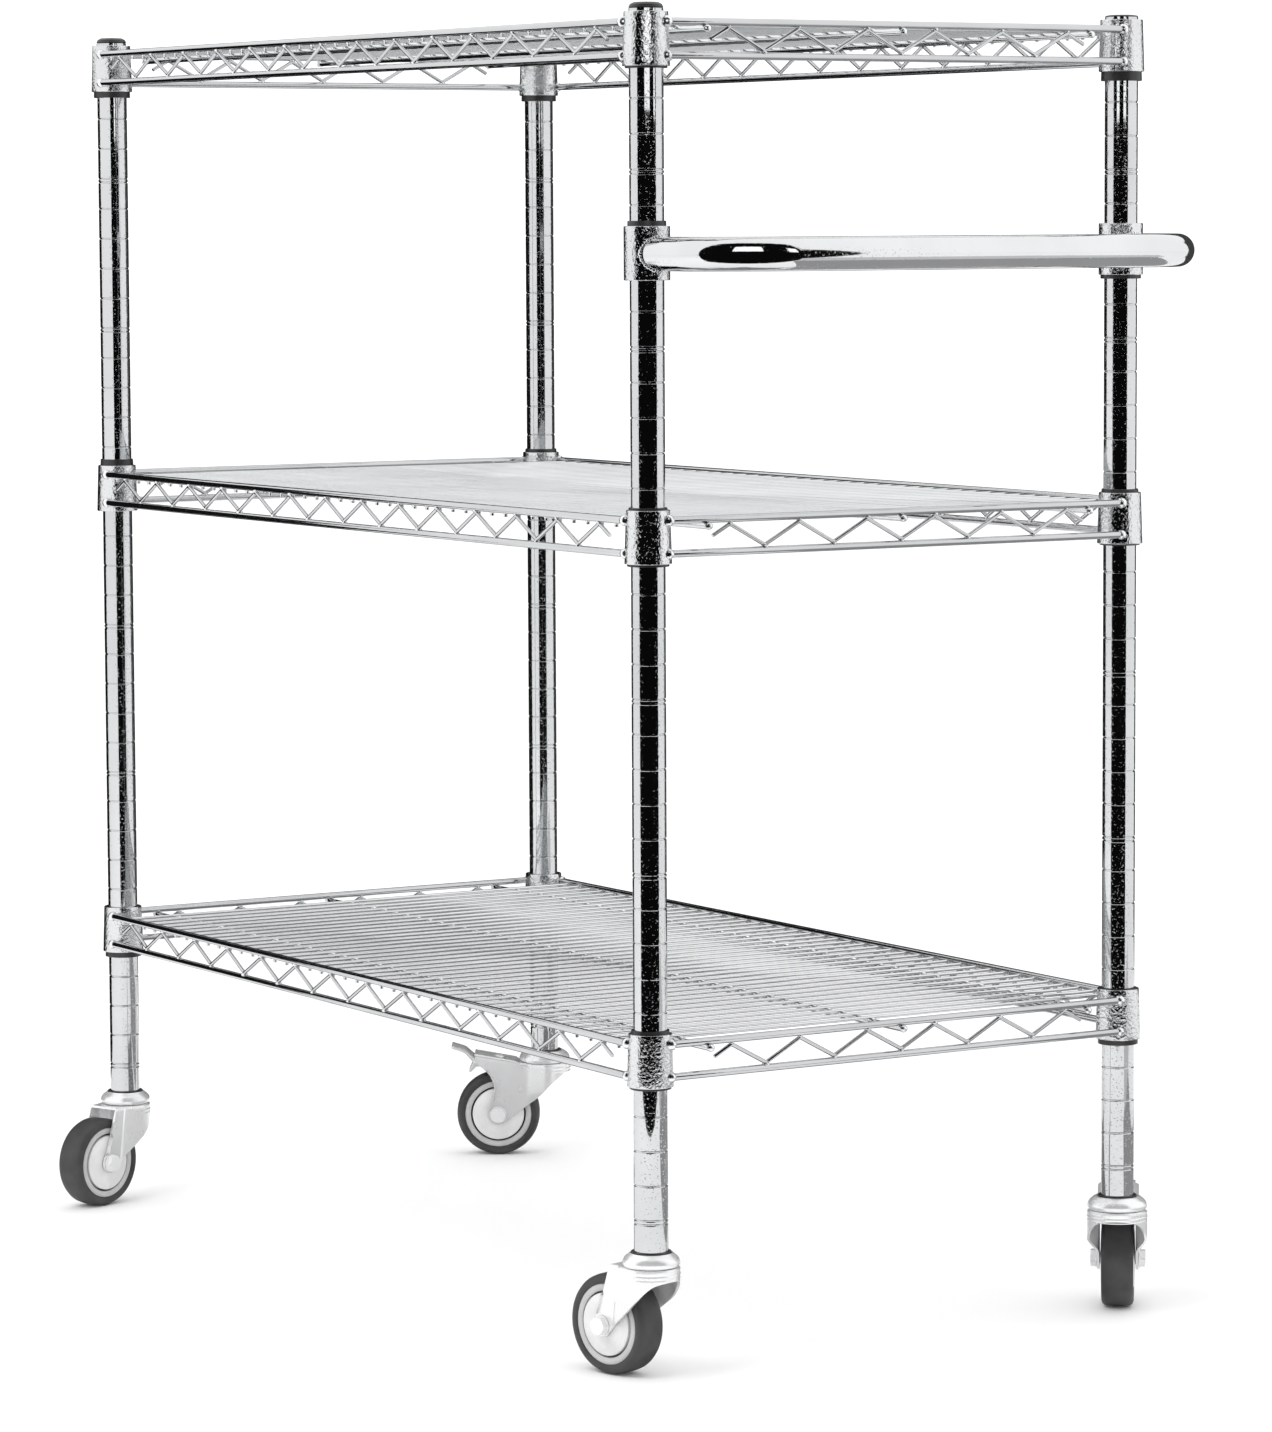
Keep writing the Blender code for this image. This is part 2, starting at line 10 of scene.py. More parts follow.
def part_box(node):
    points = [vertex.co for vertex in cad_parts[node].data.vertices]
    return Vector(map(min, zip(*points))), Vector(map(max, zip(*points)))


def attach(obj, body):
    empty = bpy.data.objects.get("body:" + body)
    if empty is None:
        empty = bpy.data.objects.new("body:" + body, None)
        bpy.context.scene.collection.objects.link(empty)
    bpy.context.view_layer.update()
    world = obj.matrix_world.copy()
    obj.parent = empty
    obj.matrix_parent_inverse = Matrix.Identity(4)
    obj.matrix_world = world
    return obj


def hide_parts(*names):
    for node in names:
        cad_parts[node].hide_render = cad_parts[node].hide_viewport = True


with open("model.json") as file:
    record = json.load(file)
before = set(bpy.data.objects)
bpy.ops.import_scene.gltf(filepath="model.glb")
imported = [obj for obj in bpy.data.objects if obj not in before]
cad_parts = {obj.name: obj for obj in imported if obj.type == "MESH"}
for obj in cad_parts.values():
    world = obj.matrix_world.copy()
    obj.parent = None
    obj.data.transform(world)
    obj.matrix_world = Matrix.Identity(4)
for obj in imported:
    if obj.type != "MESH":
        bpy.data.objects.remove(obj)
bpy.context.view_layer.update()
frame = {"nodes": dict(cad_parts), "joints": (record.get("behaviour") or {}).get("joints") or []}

# ---------------------------------------------------------------- sizes, in metres
CORNERS = ("front_left", "front_right", "rear_left", "rear_right")
LEVELS = ("top", "middle", "bottom")
GAP = 0.0003

POST_SIDES = 48
POST_WALL = 0.0012
GROOVE_PITCH = 0.0254
FIRST_GROOVE_BELOW_TOP = 0.064
GROOVE_WIDTH = 0.0018
GROOVE_DEPTH = 0.0006
GROOVE_LEAD = 0.0003
DOUBLE_EVERY = 5
FIRST_DOUBLE = 2
DOUBLE_GAP = 0.0030

CAP_SIDES = 40
CAP_RISE = {"rear_right": 0.3}

COLLAR_SIDES = 56
COLLAR_BANDS = 8
COLLAR_LIP = 0.0007
COLLAR_WALL = 0.00165
COLLAR_RADIUS_TOP = 0.0160
COLLAR_RADIUS_BOTTOM = 0.01725
HANDLE_COLLAR_RADIUS = 0.01675

ROD_RADIUS = 0.0028
ROD_BELOW_COLLAR_TOP = 0.0075
ROD_PAIR_SPACING = 0.024
ROD_END_FROM_POST = 0.0097
TRUSS_RADIUS = 0.0015
TRUSS_PITCH = 0.060
TRUSS_BITE = 0.0004
TRUSS_BEND = 0.0030
CREST_BEAD = 0.0012
ROD_END_BEAD = 0.0008
LONG_SIDE_PEAKS = 14
SHORT_SIDE_PEAKS = 6
DECK_WIRE_RADIUS = 0.0015
DECK_WIRE_PITCH = 0.020
DECK_WIRES = 42
DECK_WIRE_BEND = 0.0022
DECK_HOOK = 0.0042
SUPPORT_RADIUS = 0.0025
SUPPORT_PLACES = (-0.170, 0.0, 0.170)
SUPPORT_OVERHANG = 0.0035
WELD_BITE = 0.0006

HANDLE_TUBE_RADIUS = 0.0123
HANDLE_BEND_RADIUS = 0.055
HANDLE_AXIS_BELOW_TOP = 0.0200
HANDLE_BITE = 0.0020
SEAM_BEADS = 36

# Each kind of weld bead: its size, how much the size varies, and the seed of that variation.
WELDS = {
    "truss": ((0.0026, 0.0026, 0.0013), 0.20, 3),
    "rod_end": ((0.0042, 0.0042, 0.0042), 0.12, 5),
    "crossing": ((0.0024, 0.0031, 0.0016), 0.20, 7),
    "wire_end": ((0.0021, 0.0017, 0.0017), 0.20, 11),
    "support_end": ((0.0022, 0.0036, 0.0030), 0.10, 13),
    "handle_seam": ((0.0016, 0.0015, 0.0015), 0.25, 17),
}

LEG_OUTER = 0.0160
SHEET = 0.0020
FORK_BEND = 0.0022
FORK_ROWS = 16
NOSE_COLUMNS = 14
WALL_COLUMNS = 7
LEG_COLUMNS = 16
HEAD_RADIUS = {"plain": 0.0208, "braked": 0.0225}
KINGPIN_RADIUS = 0.0050
STEM_NECK_RADIUS = 0.0100
RIM_RECESS = 0.0036
HEAD_SIDES = 72
STEM_SIDES = 40

BOLT_RADIUS = 0.0040
BOLT_HALF_LENGTH = 0.0205
BOLT_HEAD_RADIUS = 0.0072
BOLT_HEAD_HEIGHT = 0.0050
WASHER_RADIUS = 0.0076
WASHER_HEIGHT = 0.0010
HEXAGON_SIDES = 24

WHEEL_SIDES = 72
HUB_INSET = 0.0060
PEDAL_WIDTH = 0.0260

CAMERA_PLACE = (3.749, -2.248, 0.850)
CAMERA_TURN = (58.56, 5.32, 0.26)
CAMERA_LENS = 135.7
WORLD_LIGHT = 1.2
FLOOR_SIZE = 12.0
LAMP_PLACE = (0.6, -2.4, 3.0)
LAMP_AIM = (0.0, 0.0, 0.3)


# ---------------------------------------------------------------- node trees
class Value:
    """A node's output that takes part in ordinary arithmetic."""

    def __init__(self, tree, socket):
        self.tree, self.socket = tree, socket

    def maths(self, operation, *terms):
        return self.tree.node("ShaderNodeMath", {"operation": operation}, dict(enumerate(terms)))

    def __add__(self, other):
        return self.maths("ADD", self, other)

    def __rsub__(self, other):
        return self.maths("SUBTRACT", other, self)

    def __mul__(self, other):
        return self.maths("MULTIPLY", self, other)

    __radd__ = __add__


class NodeTree:
    """Makes nodes in a tree: settings first, then the values or links of its sockets."""

    def __init__(self, tree):
        self.tree = tree

    def node(self, kind, settings=None, sockets=None, output=0):
        made = self.tree.nodes.new(kind)
        for name, setting in (settings or {}).items():
            if name == "stops":
                self.set_stops(made.color_ramp, setting)
            else:
                setattr(made, name, setting)
        for key, value in (sockets or {}).items():
            self.feed(made.inputs[key], value)
        return Value(self, made.outputs[output]) if len(made.outputs) else None

    def feed(self, socket, value):
        if isinstance(value, Value):
            self.tree.links.new(value.socket, socket)
        else:
            socket.default_value = value

    @staticmethod
    def set_stops(ramp, stops):
        while len(ramp.elements) < len(stops):
            ramp.elements.new(1.0)
        for element, (place, shade) in zip(ramp.elements, stops):
            element.position = place
            element.color = (shade, shade, shade, 1)


class Finish(NodeTree):
    """A material with a Principled shader, fed from object coordinates."""

    def __init__(self, name):
        self.material = bpy.data.materials.new(name)
        self.material.use_nodes = True
        super().__init__(self.material.node_tree)
        self.shader = self.tree.nodes["Principled BSDF"]
        self.place = self.node("ShaderNodeTexCoord", output="Object")

    def stretched(self, scale):
        return self.node("ShaderNodeMapping", sockets={"Vector": self.place, "Scale": scale})

    def noise(self, scale, detail=2.0, place=None):
        sockets = {"Vector": place or self.place, "Scale": scale, "Detail": detail}
        return self.node("ShaderNodeTexNoise", sockets=sockets)

    def cells(self, scale, place=None):
        settings = {"feature": "DISTANCE_TO_EDGE"}
        sockets = {"Vector": place or self.place, "Scale": scale}
        return self.node("ShaderNodeTexVoronoi", settings, sockets)

    def ramp(self, value, low, high):
        return self.node("ShaderNodeValToRGB", {"stops": [(low, 0.0), (high, 1.0)]}, {"Fac": value})

    def mix(self, share, first, second):
        """One colour fading into another by a share between 0 and 1."""
        made = self.tree.nodes.new("ShaderNodeMix")
        made.data_type = "RGBA"
        inputs = {socket.identifier: socket for socket in made.inputs}
        self.feed(inputs["Factor_Float"], share)
        self.feed(inputs["A_Color"], (*first, 1))
        self.feed(inputs["B_Color"], (*second, 1))
        outputs = {socket.identifier: socket for socket in made.outputs}
        return Value(self, outputs["Result_Color"])

    def bump(self, height, distance):
        sockets = {"Height": height, "Distance": distance, "Strength": 1.0}
        self.set("Normal", self.node("ShaderNodeBump", sockets=sockets))

    def set(self, name, value):
        self.feed(self.shader.inputs[name], value)


class Growth(NodeTree):
    """A Geometry Nodes tree with named inputs, run on a carrier mesh to give a plain mesh."""

    def __init__(self, name, inputs):
        super().__init__(bpy.data.node_groups.new(name, "GeometryNodeTree"))
        self.sockets = {}
        face = self.tree.interface
        face.new_socket(name="Geometry", in_out="INPUT", socket_type="NodeSocketGeometry")
        for label, kind in {**inputs, "Finish": "Material"}.items():
            made = face.new_socket(name=label, in_out="INPUT", socket_type="NodeSocket" + kind)
            self.sockets[label] = made.identifier
        face.new_socket(name="Geometry", in_out="OUTPUT", socket_type="NodeSocketGeometry")
        self.start = self.tree.nodes.new("NodeGroupInput")

    def given(self, label):
        return Value(self, self.start.outputs[label])

    def end(self, geometry):
        whole = self.node("GeometryNodeRealizeInstances", sockets={"Geometry": geometry})
        sockets = {"Geometry": whole, "Material": self.given("Finish")}
        painted = self.node("GeometryNodeSetMaterial", sockets=sockets)
        self.node("NodeGroupOutput", sockets={"Geometry": painted})
        return self

    def run(self, carrier, finish, **values):
        holder = in_scene("holder", carrier)
        modifier = holder.modifiers.new("growth", "NODES")
        modifier.node_group = self.tree
        modifier[self.sockets["Finish"]] = finish.material
        for label, value in values.items():
            modifier[self.sockets[label]] = value
        grown = plain_mesh(holder)
        bpy.data.objects.remove(holder)
        return grown


def in_scene(name, data):
    """A new object for a mesh, lamp or camera, linked into the scene."""
    made = bpy.data.objects.new(name, data)
    bpy.context.collection.objects.link(made)
    return made


def plain_mesh(holder):
    """The object's mesh as its modifiers leave it."""
    graph = bpy.context.evaluated_depsgraph_get()
    graph.update()
    return bpy.data.meshes.new_from_object(holder.evaluated_get(graph))


def bent_wire_tree():
    """A round wire along a polyline whose corners are bent to a radius."""
    inputs = {"Bend": "Float", "Steps": "Int", "Radius": "Float", "Sides": "Int"}
    tree = Growth("bent_wire", inputs)
    line = tree.node("GeometryNodeMeshToCurve", sockets={0: tree.given("Geometry")})
    sockets = {"Curve": line, "Count": tree.given("Steps"), "Radius": tree.given("Bend")}
    sockets["Limit Radius"] = True
    bent = tree.node("GeometryNodeFilletCurve", {"mode": "POLY"}, sockets)
    sockets = {"Resolution": tree.given("Sides"), "Radius": tree.given("Radius")}
    section = tree.node("GeometryNodeCurvePrimitiveCircle", {"mode": "RADIUS"}, sockets)
    sockets = {"Curve": bent, "Profile Curve": section, "Fill Caps": True}
    return tree.end(tree.node("GeometryNodeCurveToMesh", sockets=sockets))


def row_tree():
    """Copies of a piece, one step apart, joined where they meet."""
    inputs = {"Piece": "Object", "Count": "Int", "First": "Vector", "Step": "Vector", "Join": "Float"}
    tree = Growth("row_of_copies", inputs)
    sockets = {"Count": tree.given("Count"), "Start Location": tree.given("First")}
    sockets["Offset"] = tree.given("Step")
    line = tree.node("GeometryNodeMeshLine", {"mode": "OFFSET"}, sockets)
    piece = tree.node("GeometryNodeObjectInfo", sockets={"Object": tree.given("Piece")}, output="Geometry")
    row = tree.node("GeometryNodeInstanceOnPoints", sockets={"Points": line, "Instance": piece})
    whole = tree.node("GeometryNodeRealizeInstances", sockets={"Geometry": row})
    sockets = {"Geometry": whole, "Distance": tree.given("Join")}
    return tree.end(tree.node("GeometryNodeMergeByDistance", sockets=sockets))


def beads_tree():
    """A weld bead at each of the carrier's points, no two quite alike."""
    inputs = {"Bead": "Object", "Size": "Vector", "Spread": "Float", "Seed": "Int"}
    tree = Growth("weld_beads", inputs)
    sockets = {2: 1 - tree.given("Spread"), 3: 1 + tree.given("Spread"), "Seed": tree.given("Seed")}
    share = tree.node("FunctionNodeRandomValue", {"data_type": "FLOAT"}, sockets, output=1)
    sockets = {0: tree.given("Size"), "Scale": share}
    size = tree.node("ShaderNodeVectorMath", {"operation": "SCALE"}, sockets)
    bead = tree.node("GeometryNodeObjectInfo", sockets={"Object": tree.given("Bead")}, output="Geometry")
    sockets = {"Points": tree.given("Geometry"), "Instance": bead, "Scale": size}
    return tree.end(tree.node("GeometryNodeInstanceOnPoints", sockets=sockets))


# ---------------------------------------------------------------- finishes
def chrome(name, colour, roughness, wave_scale, wave_height, pitting=0.0):
    """Plated steel: a slow ripple in the polish, clouded by handling, with hairlines and fine pits."""
    made = Finish(name)
    cloud = made.ramp(made.noise(14.0, 4.0), 0.35, 0.75)
    hairs = made.ramp(made.cells(380.0, made.stretched((1.0, 1.0, 0.06))), 0.0, 0.012)
    shade = [c * 0.9 for c in colour]
    made.set("Base Color", made.mix(cloud, colour, shade))
    made.set("Metallic", 1.0)
    made.set("Roughness", roughness + cloud * 0.03 + (1 - hairs) * 0.05)
    pits = made.ramp(made.noise(620.0, 2.0), 0.62, 0.72)
    ripple = made.noise(wave_scale, 2.0) + made.noise(wave_scale * 4.1, 1.0) * 0.15
    made.bump(ripple + pits * pitting, wave_height)
    return made


def zinc(name, sheen):
    """Bright zinc on pressed steel: soft mottling and fine drawing lines."""
    made = Finish(name)
    mottle = made.ramp(made.noise(60.0, 1.0), 0.20, 0.80)
    lines = made.noise(300.0, 0.0, made.stretched((1.0, 1.0, 0.15)))
    made.set("Base Color", made.mix(mottle, (0.86, 0.865, 0.87), (0.80, 0.805, 0.81)))
    made.set("Metallic", sheen)
    made.set("Roughness", 0.22 + mottle * 0.05 + lines * 0.03)
    return made


def moulded(name, colour, dark, roughness, grain):
    """Moulded plastic or rubber: a fine grain, slightly uneven in colour and in sheen."""
    made = Finish(name)
    patches = made.ramp(made.noise(70.0, 4.0), 0.30, 0.75)
    made.set("Base Color", made.mix(patches, colour, dark))
    made.set("Roughness", roughness + patches * 0.12)
    made.bump(made.noise(1800.0, 2.0), grain)
    return made


# ---------------------------------------------------------------- shapes
def turned(profile, sides, closed=False):
    """A bmesh turned about Z from (radius, height) points; closed joins the last point to the first."""
    shape = bmesh.new()
    rings = []
    for radius, height in profile:
        if radius < 1e-7:
            rings.append([shape.verts.new((0, 0, height))] * sides)
            continue
        angles = [2 * math.pi * k / sides for k in range(sides)]
        rings.append([shape.verts.new((radius * math.cos(a), radius * math.sin(a), height)) for a in angles])
    pairs = list(zip(rings, rings[1:])) + ([(rings[-1], rings[0])] if closed else [])
    for low, high in pairs:
        for k in range(sides):
            after = (k + 1) % sides
            corners = list(dict.fromkeys((low[k], low[after], high[after], high[k])))
            if len(corners) > 2:
                shape.faces.new(corners)
    bmesh.ops.recalc_face_normals(shape, faces=shape.faces)
    return shape


def rounded(profile, radius, steps=3):
    """A profile with each inner corner replaced by a small arc."""
    made = [profile[0]]
    for before, corner, after in zip(profile, profile[1:], profile[2:]):
        corner = Vector(corner)
        into, out = Vector(before) - corner, Vector(after) - corner
        reach = min(radius, into.length * 0.45, out.length * 0.45)
        start, end = corner + into.normalized() * reach, corner + out.normalized() * reach
        for i in range(steps + 1):
            share = i / steps
            first, second = start.lerp(corner, share), corner.lerp(end, share)
            made.append(tuple(first.lerp(second, share)))
    return made + [profile[-1]]


def polyline(points):
    """A mesh of edges only, the path of a wire."""
    mesh = bpy.data.meshes.new("polyline")
    mesh.from_pydata(points, [(i, i + 1) for i in range(len(points) - 1)], [])
    return mesh


def as_mesh(shape):
    mesh = bpy.data.meshes.new("shape")
    shape.to_mesh(mesh)
    shape.free()
    return mesh


def ball():
    """A unit ball of few faces, the seed of every weld bead."""
    shape = bmesh.new()
    bmesh.ops.create_icosphere(shape, subdivisions=2, radius=1.0)
    return as_mesh(shape)


class Piece:
    """Gathers meshes of one or more finishes into a single piece that rides on a body."""

    def __init__(self, name):
        self.name = name
        self.shape = bmesh.new()
        self.finishes = []

    def add(self, mesh, finish, turn=None):
        if isinstance(mesh, bmesh.types.BMesh):
            mesh = as_mesh(mesh)
        if turn is not None:
            mesh.transform(turn)
        if finish not in self.finishes:
            self.finishes.append(finish)
        first = len(self.shape.faces)
        self.shape.from_mesh(mesh)
        self.shape.faces.ensure_lookup_table()
        for face in self.shape.faces[first:]:
            face.material_index = self.finishes.index(finish)
            face.smooth = True
        bpy.data.meshes.remove(mesh)
        return self

    def weld(self, places, kind):
        """Adds one kind of weld bead at each of the places."""
        size, spread, seed = WELDS[kind]
        mesh = bpy.data.meshes.new("places")
        mesh.from_pydata(places, [], [])
        finish = FINISHES["weld"]
        grown = TREES["beads"].run(mesh, finish, Bead=BEAD, Size=size, Spread=spread, Seed=seed)
        return self.add(grown, finish)

    def done(self, body, slot, nodes, sharp=40.0):
        mesh = bpy.data.meshes.new(self.name)
        self.shape.to_mesh(mesh)
        self.shape.free()
        mesh.set_sharp_from_angle(angle=math.radians(sharp))
        for finish in self.finishes:
            mesh.materials.append(finish.material)
        made = in_scene(self.name, mesh)
        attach(made, body)
        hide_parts(*nodes)
        return made


def with_modifiers(shape, steps):
    """A bmesh or mesh run through modifiers given as (kind, settings)."""
    mesh = as_mesh(shape) if isinstance(shape, bmesh.types.BMesh) else shape
    holder = in_scene("holder", mesh)
    for kind, settings in steps:
        step = holder.modifiers.new(kind, kind)
        for name, value in settings.items():
            setattr(step, name, value)
    made = plain_mesh(holder)
    bpy.data.objects.remove(holder)
    return made


def copies(mesh, finish, count, first, step):
    """A row of copies of a mesh, one step apart."""
    piece = in_scene("lent", mesh)
    values = {"Piece": piece, "Count": count, "First": first, "Step": step, "Join": 0.0}
    made = TREES["row"].run(polyline([]), finish, **values)
    bpy.data.objects.remove(piece)
    return made


def wire(points, radius, finish, bend=0.0, steps=4, sides=12):
    """A round wire or tube along points, its corners bent to a radius in some steps."""
    values = {"Bend": bend, "Steps": steps, "Radius": radius, "Sides": sides}
    return TREES["wire"].run(polyline(points), finish, **values)


# ---------------------------------------------------------------- where things are
def middle(node):
    low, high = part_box(node)
    return (low + high) / 2


POSTS = {corner: middle("post_" + corner) for corner in CORNERS}
POST_FOOT, POST_TOP = (corner.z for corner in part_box("post_rear_left"))
POST_RADIUS = (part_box("post_rear_left")[1].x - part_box("post_rear_left")[0].x) / 2
JOINTS = {joint["name"]: joint for joint in frame["joints"]}
COLLAR_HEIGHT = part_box("shelf_frame_top")[1].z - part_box("shelf_frame_top")[0].z
CART_MIDDLE = (POSTS["rear_right"] + POSTS["front_left"]) / 2
HALF_X, HALF_Y = ((POSTS["rear_right"] - POSTS["front_left"]) / 2).xy
ROD_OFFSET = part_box("shelf_deck_top")[1].y - CART_MIDDLE.y + GAP + ROD_RADIUS - HALF_Y


def at_post(corner):
    """Moves a piece from the origin to the post's axis, at the same height."""
    return Matrix.Translation((*POSTS[corner].xy, 0))


def caster_place(corner):
    """The caster's own frame: origin on the floor under the post, +X to the front of the fork."""
    post = POSTS[corner]
    axle = Vector(JOINTS["wheel_spin_" + corner]["pos_m"])
    ahead = Vector((post.x - axle.x, post.y - axle.y))
    turn = Matrix.Rotation(math.atan2(ahead.y, ahead.x), 4, "Z")
    return at_post(corner) @ turn, ahead.length, axle.z


# ---------------------------------------------------------------- posts
def groove(height):
    """Profile points of one rolled groove, from above its upper edge down to below its lower edge."""
    half = GROOVE_WIDTH / 2
    above = (POST_RADIUS, height + half + GROOVE_LEAD)
    upper = [above, (POST_RADIUS, height + half), (POST_RADIUS - GROOVE_DEPTH, height + half * 0.3)]
    return upper + [(radius, 2 * height - z) for radius, z in reversed(upper)]


def groove_band(first, count):
    """Profile points of some grooves a pitch apart, counted from the top one."""
    points = []
    for number in range(count):
        height = -number * GROOVE_PITCH
        points += groove(height)
        if (first + number) % DOUBLE_EVERY == FIRST_DOUBLE:
            points += groove(height - DOUBLE_GAP)
    return points


def post_tube(finish):
    """A tube whose grooves come in equal bands, closed at its ends by its own wall."""
    top_groove = POST_TOP - FIRST_GROOVE_BELOW_TOP
    reach = GROOVE_PITCH / 2
    band_height = DOUBLE_EVERY * GROOVE_PITCH
    whole_bands = int((top_groove + reach - POST_FOOT) / band_height)
    band = [(POST_RADIUS, reach)] + groove_band(0, DOUBLE_EVERY) + [(POST_RADIUS, reach - band_height)]
    band_mesh = as_mesh(turned(band, POST_SIDES))
    row = copies(band_mesh, finish, whole_bands, (0, 0, top_groove), (0, 0, -band_height))
    shape = bmesh.new()
    shape.from_mesh(row)
    foot_start = top_groove + reach - whole_bands * band_height
    left_over = int((foot_start - POST_FOOT) / GROOVE_PITCH)
    foot = [(POST_RADIUS, reach)] + groove_band(0, left_over)
    foot = [(radius, height + foot_start - reach) for radius, height in foot] + [(POST_RADIUS, POST_FOOT)]
    head = [(POST_RADIUS, POST_TOP), (POST_RADIUS, top_groove + reach)]
    for profile in (head, foot):
        shape.from_mesh(as_mesh(turned(profile, POST_SIDES)))
    bmesh.ops.remove_doubles(shape, verts=shape.verts, dist=1e-6)
    bmesh.ops.recalc_face_normals(shape, faces=shape.faces)
    centres = [(face.normal, face.calc_center_median()) for face in shape.faces]
    if sum(normal.xy.dot(centre.xy) for normal, centre in centres) < 0:
        bmesh.ops.reverse_faces(shape, faces=shape.faces)
    return with_modifiers(shape, [("SOLIDIFY", {"thickness": POST_WALL, "offset": -1.0})])


def cap_shape(corner):
    """A plug in the post under a low dome; one of the four is pressed in flatter."""
    low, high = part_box("post_cap_" + corner)
    plug, rest = POST_RADIUS - POST_WALL - GAP, POST_TOP + GAP
    rise = (high.z - rest) * CAP_RISE.get(corner, 1.0)
    profile = [(0, low.z), (plug, low.z), (plug, rest), (POST_RADIUS, rest)]
    dome = ((1.0, 0.20), (0.97, 0.30), (0.94, 0.55), (0.72, 0.91), (0.0, 1.0))
    profile += [(POST_RADIUS * out, rest + up * rise) for out, up in dome]
    return turned(rounded(profile, 0.0008), CAP_SIDES)


def build_posts():
    tube = post_tube(FINISHES["post"])
    for corner in CORNERS:
        piece = Piece("grooved_post_" + corner).add(tube.copy(), FINISHES["post"], at_post(corner))
        piece.done("root", "chrome", ["post_" + corner])
        cap = Piece("cap_" + corner).add(cap_shape(corner), FINISHES["black"], at_post(corner))
        cap.done("root", "black_plastic", ["post_cap_" + corner])


def build_sleeves():
    """Each sleeve tapers with its collar and shows as a thin black ring above or below it."""
    for node in sorted(n for n in frame["nodes"] if n.startswith("sleeve_")):
        corner = node.split("_", 2)[2]
        low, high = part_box(node)
        height = high.z - low.z
        widest = (high.x - low.x) / 2
        taper = (COLLAR_RADIUS_BOTTOM - COLLAR_RADIUS_TOP) / COLLAR_HEIGHT * height
        bore = POST_RADIUS + GAP
        profile = [(bore, low.z), (widest, low.z), (widest - taper, high.z), (bore, high.z), (bore, low.z)]
        ring = turned(rounded(profile, 0.0005, 2)[:-1], POST_SIDES, closed=True)
        piece = Piece("ring_" + node).add(ring, FINISHES["black"], at_post(corner))
        piece.done("root", "black_plastic", [node])


# ---------------------------------------------------------------- shelves
def collar(top, foot, outer_top, outer_foot):
    """A forged collar, its lips rounded inside and out and its outer wall cut into bands."""
    inner_top, inner_foot = outer_top - COLLAR_WALL, outer_foot - COLLAR_WALL
    profile = [(inner_foot, foot), (outer_foot, foot), (outer_top, top), (inner_top, top), (inner_foot, foot)]
    points = rounded(profile, COLLAR_LIP)
    waist = []
    for number in range(1, COLLAR_BANDS):
        share = number / COLLAR_BANDS
        waist.append((outer_foot + (outer_top - outer_foot) * share, foot + (top - foot) * share))
    cut = next(i for i, point in enumerate(points) if point[1] > (top + foot) / 2)
    return turned((points[:cut] + waist + points[cut:])[:-1], COLLAR_SIDES, closed=True)


def zigzag(peaks, high, low):
    """Truss wire points along its rod: half a stub, then peak and valley in turn, then half a stub."""
    first = -(peaks - 1) / 2 * TRUSS_PITCH
    stub = TRUSS_PITCH / 4
    points = [(first - stub, (high + low) / 2)]
    for peak in range(peaks):
        place = first + peak * TRUSS_PITCH
        points += [(place, high), (place + TRUSS_PITCH / 2, low)]
    return points[:-1] + [(-first + stub, (high + low) / 2)]


def along(axis, side, points):
    """Puts (length, height) points on one side of the shelf."""
    if axis == "X":
        return [(CART_MIDDLE.x + length, CART_MIDDLE.y + side, height) for length, height in points]
    return [(CART_MIDDLE.x + side, CART_MIDDLE.y + length, height) for length, height in points]


def build_frame(level):
    piece, rod = Piece("wire_frame_" + level), FINISHES["rod"]
    low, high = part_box("shelf_frame_" + level)
    rods = (high.z - ROD_BELOW_COLLAR_TOP, high.z - ROD_BELOW_COLLAR_TOP - ROD_PAIR_SPACING)
    for corner in CORNERS:
        shape = collar(high.z, low.z, COLLAR_RADIUS_TOP, COLLAR_RADIUS_BOTTOM)
        piece.add(shape, FINISHES["collar"], at_post(corner))
    peak = rods[0] - ROD_RADIUS - TRUSS_RADIUS + TRUSS_BITE
    valley = rods[1] + ROD_RADIUS + TRUSS_RADIUS - TRUSS_BITE
    sides = (("X", HALF_X, HALF_Y, LONG_SIDE_PEAKS), ("Y", HALF_Y, HALF_X, SHORT_SIDE_PEAKS))
    crests, rod_ends = [], []
    for axis, half, across, peaks in sides:
        reach = half - ROD_END_FROM_POST
        truss = zigzag(peaks, peak, valley)
        for side in (across + ROD_OFFSET, -across - ROD_OFFSET):
            for height in rods:
                ends = along(axis, side, [(-reach, height), (reach, height)])
                piece.add(wire(ends, ROD_RADIUS, rod, sides=16), rod)
                tip = reach + ROD_END_BEAD
                rod_ends += along(axis, side, [(-tip, height), (tip, height)])
            piece.add(wire(along(axis, side, truss), TRUSS_RADIUS, rod, TRUSS_BEND, 5), rod)
            bends = [(x, z + (CREST_BEAD if z > valley else -CREST_BEAD)) for x, z in truss[1:-1]]
            crests += along(axis, side, bends)
    piece.weld(crests, "truss").weld(rod_ends, "rod_end")
    piece.done("root", "chrome", ["shelf_frame_" + level])


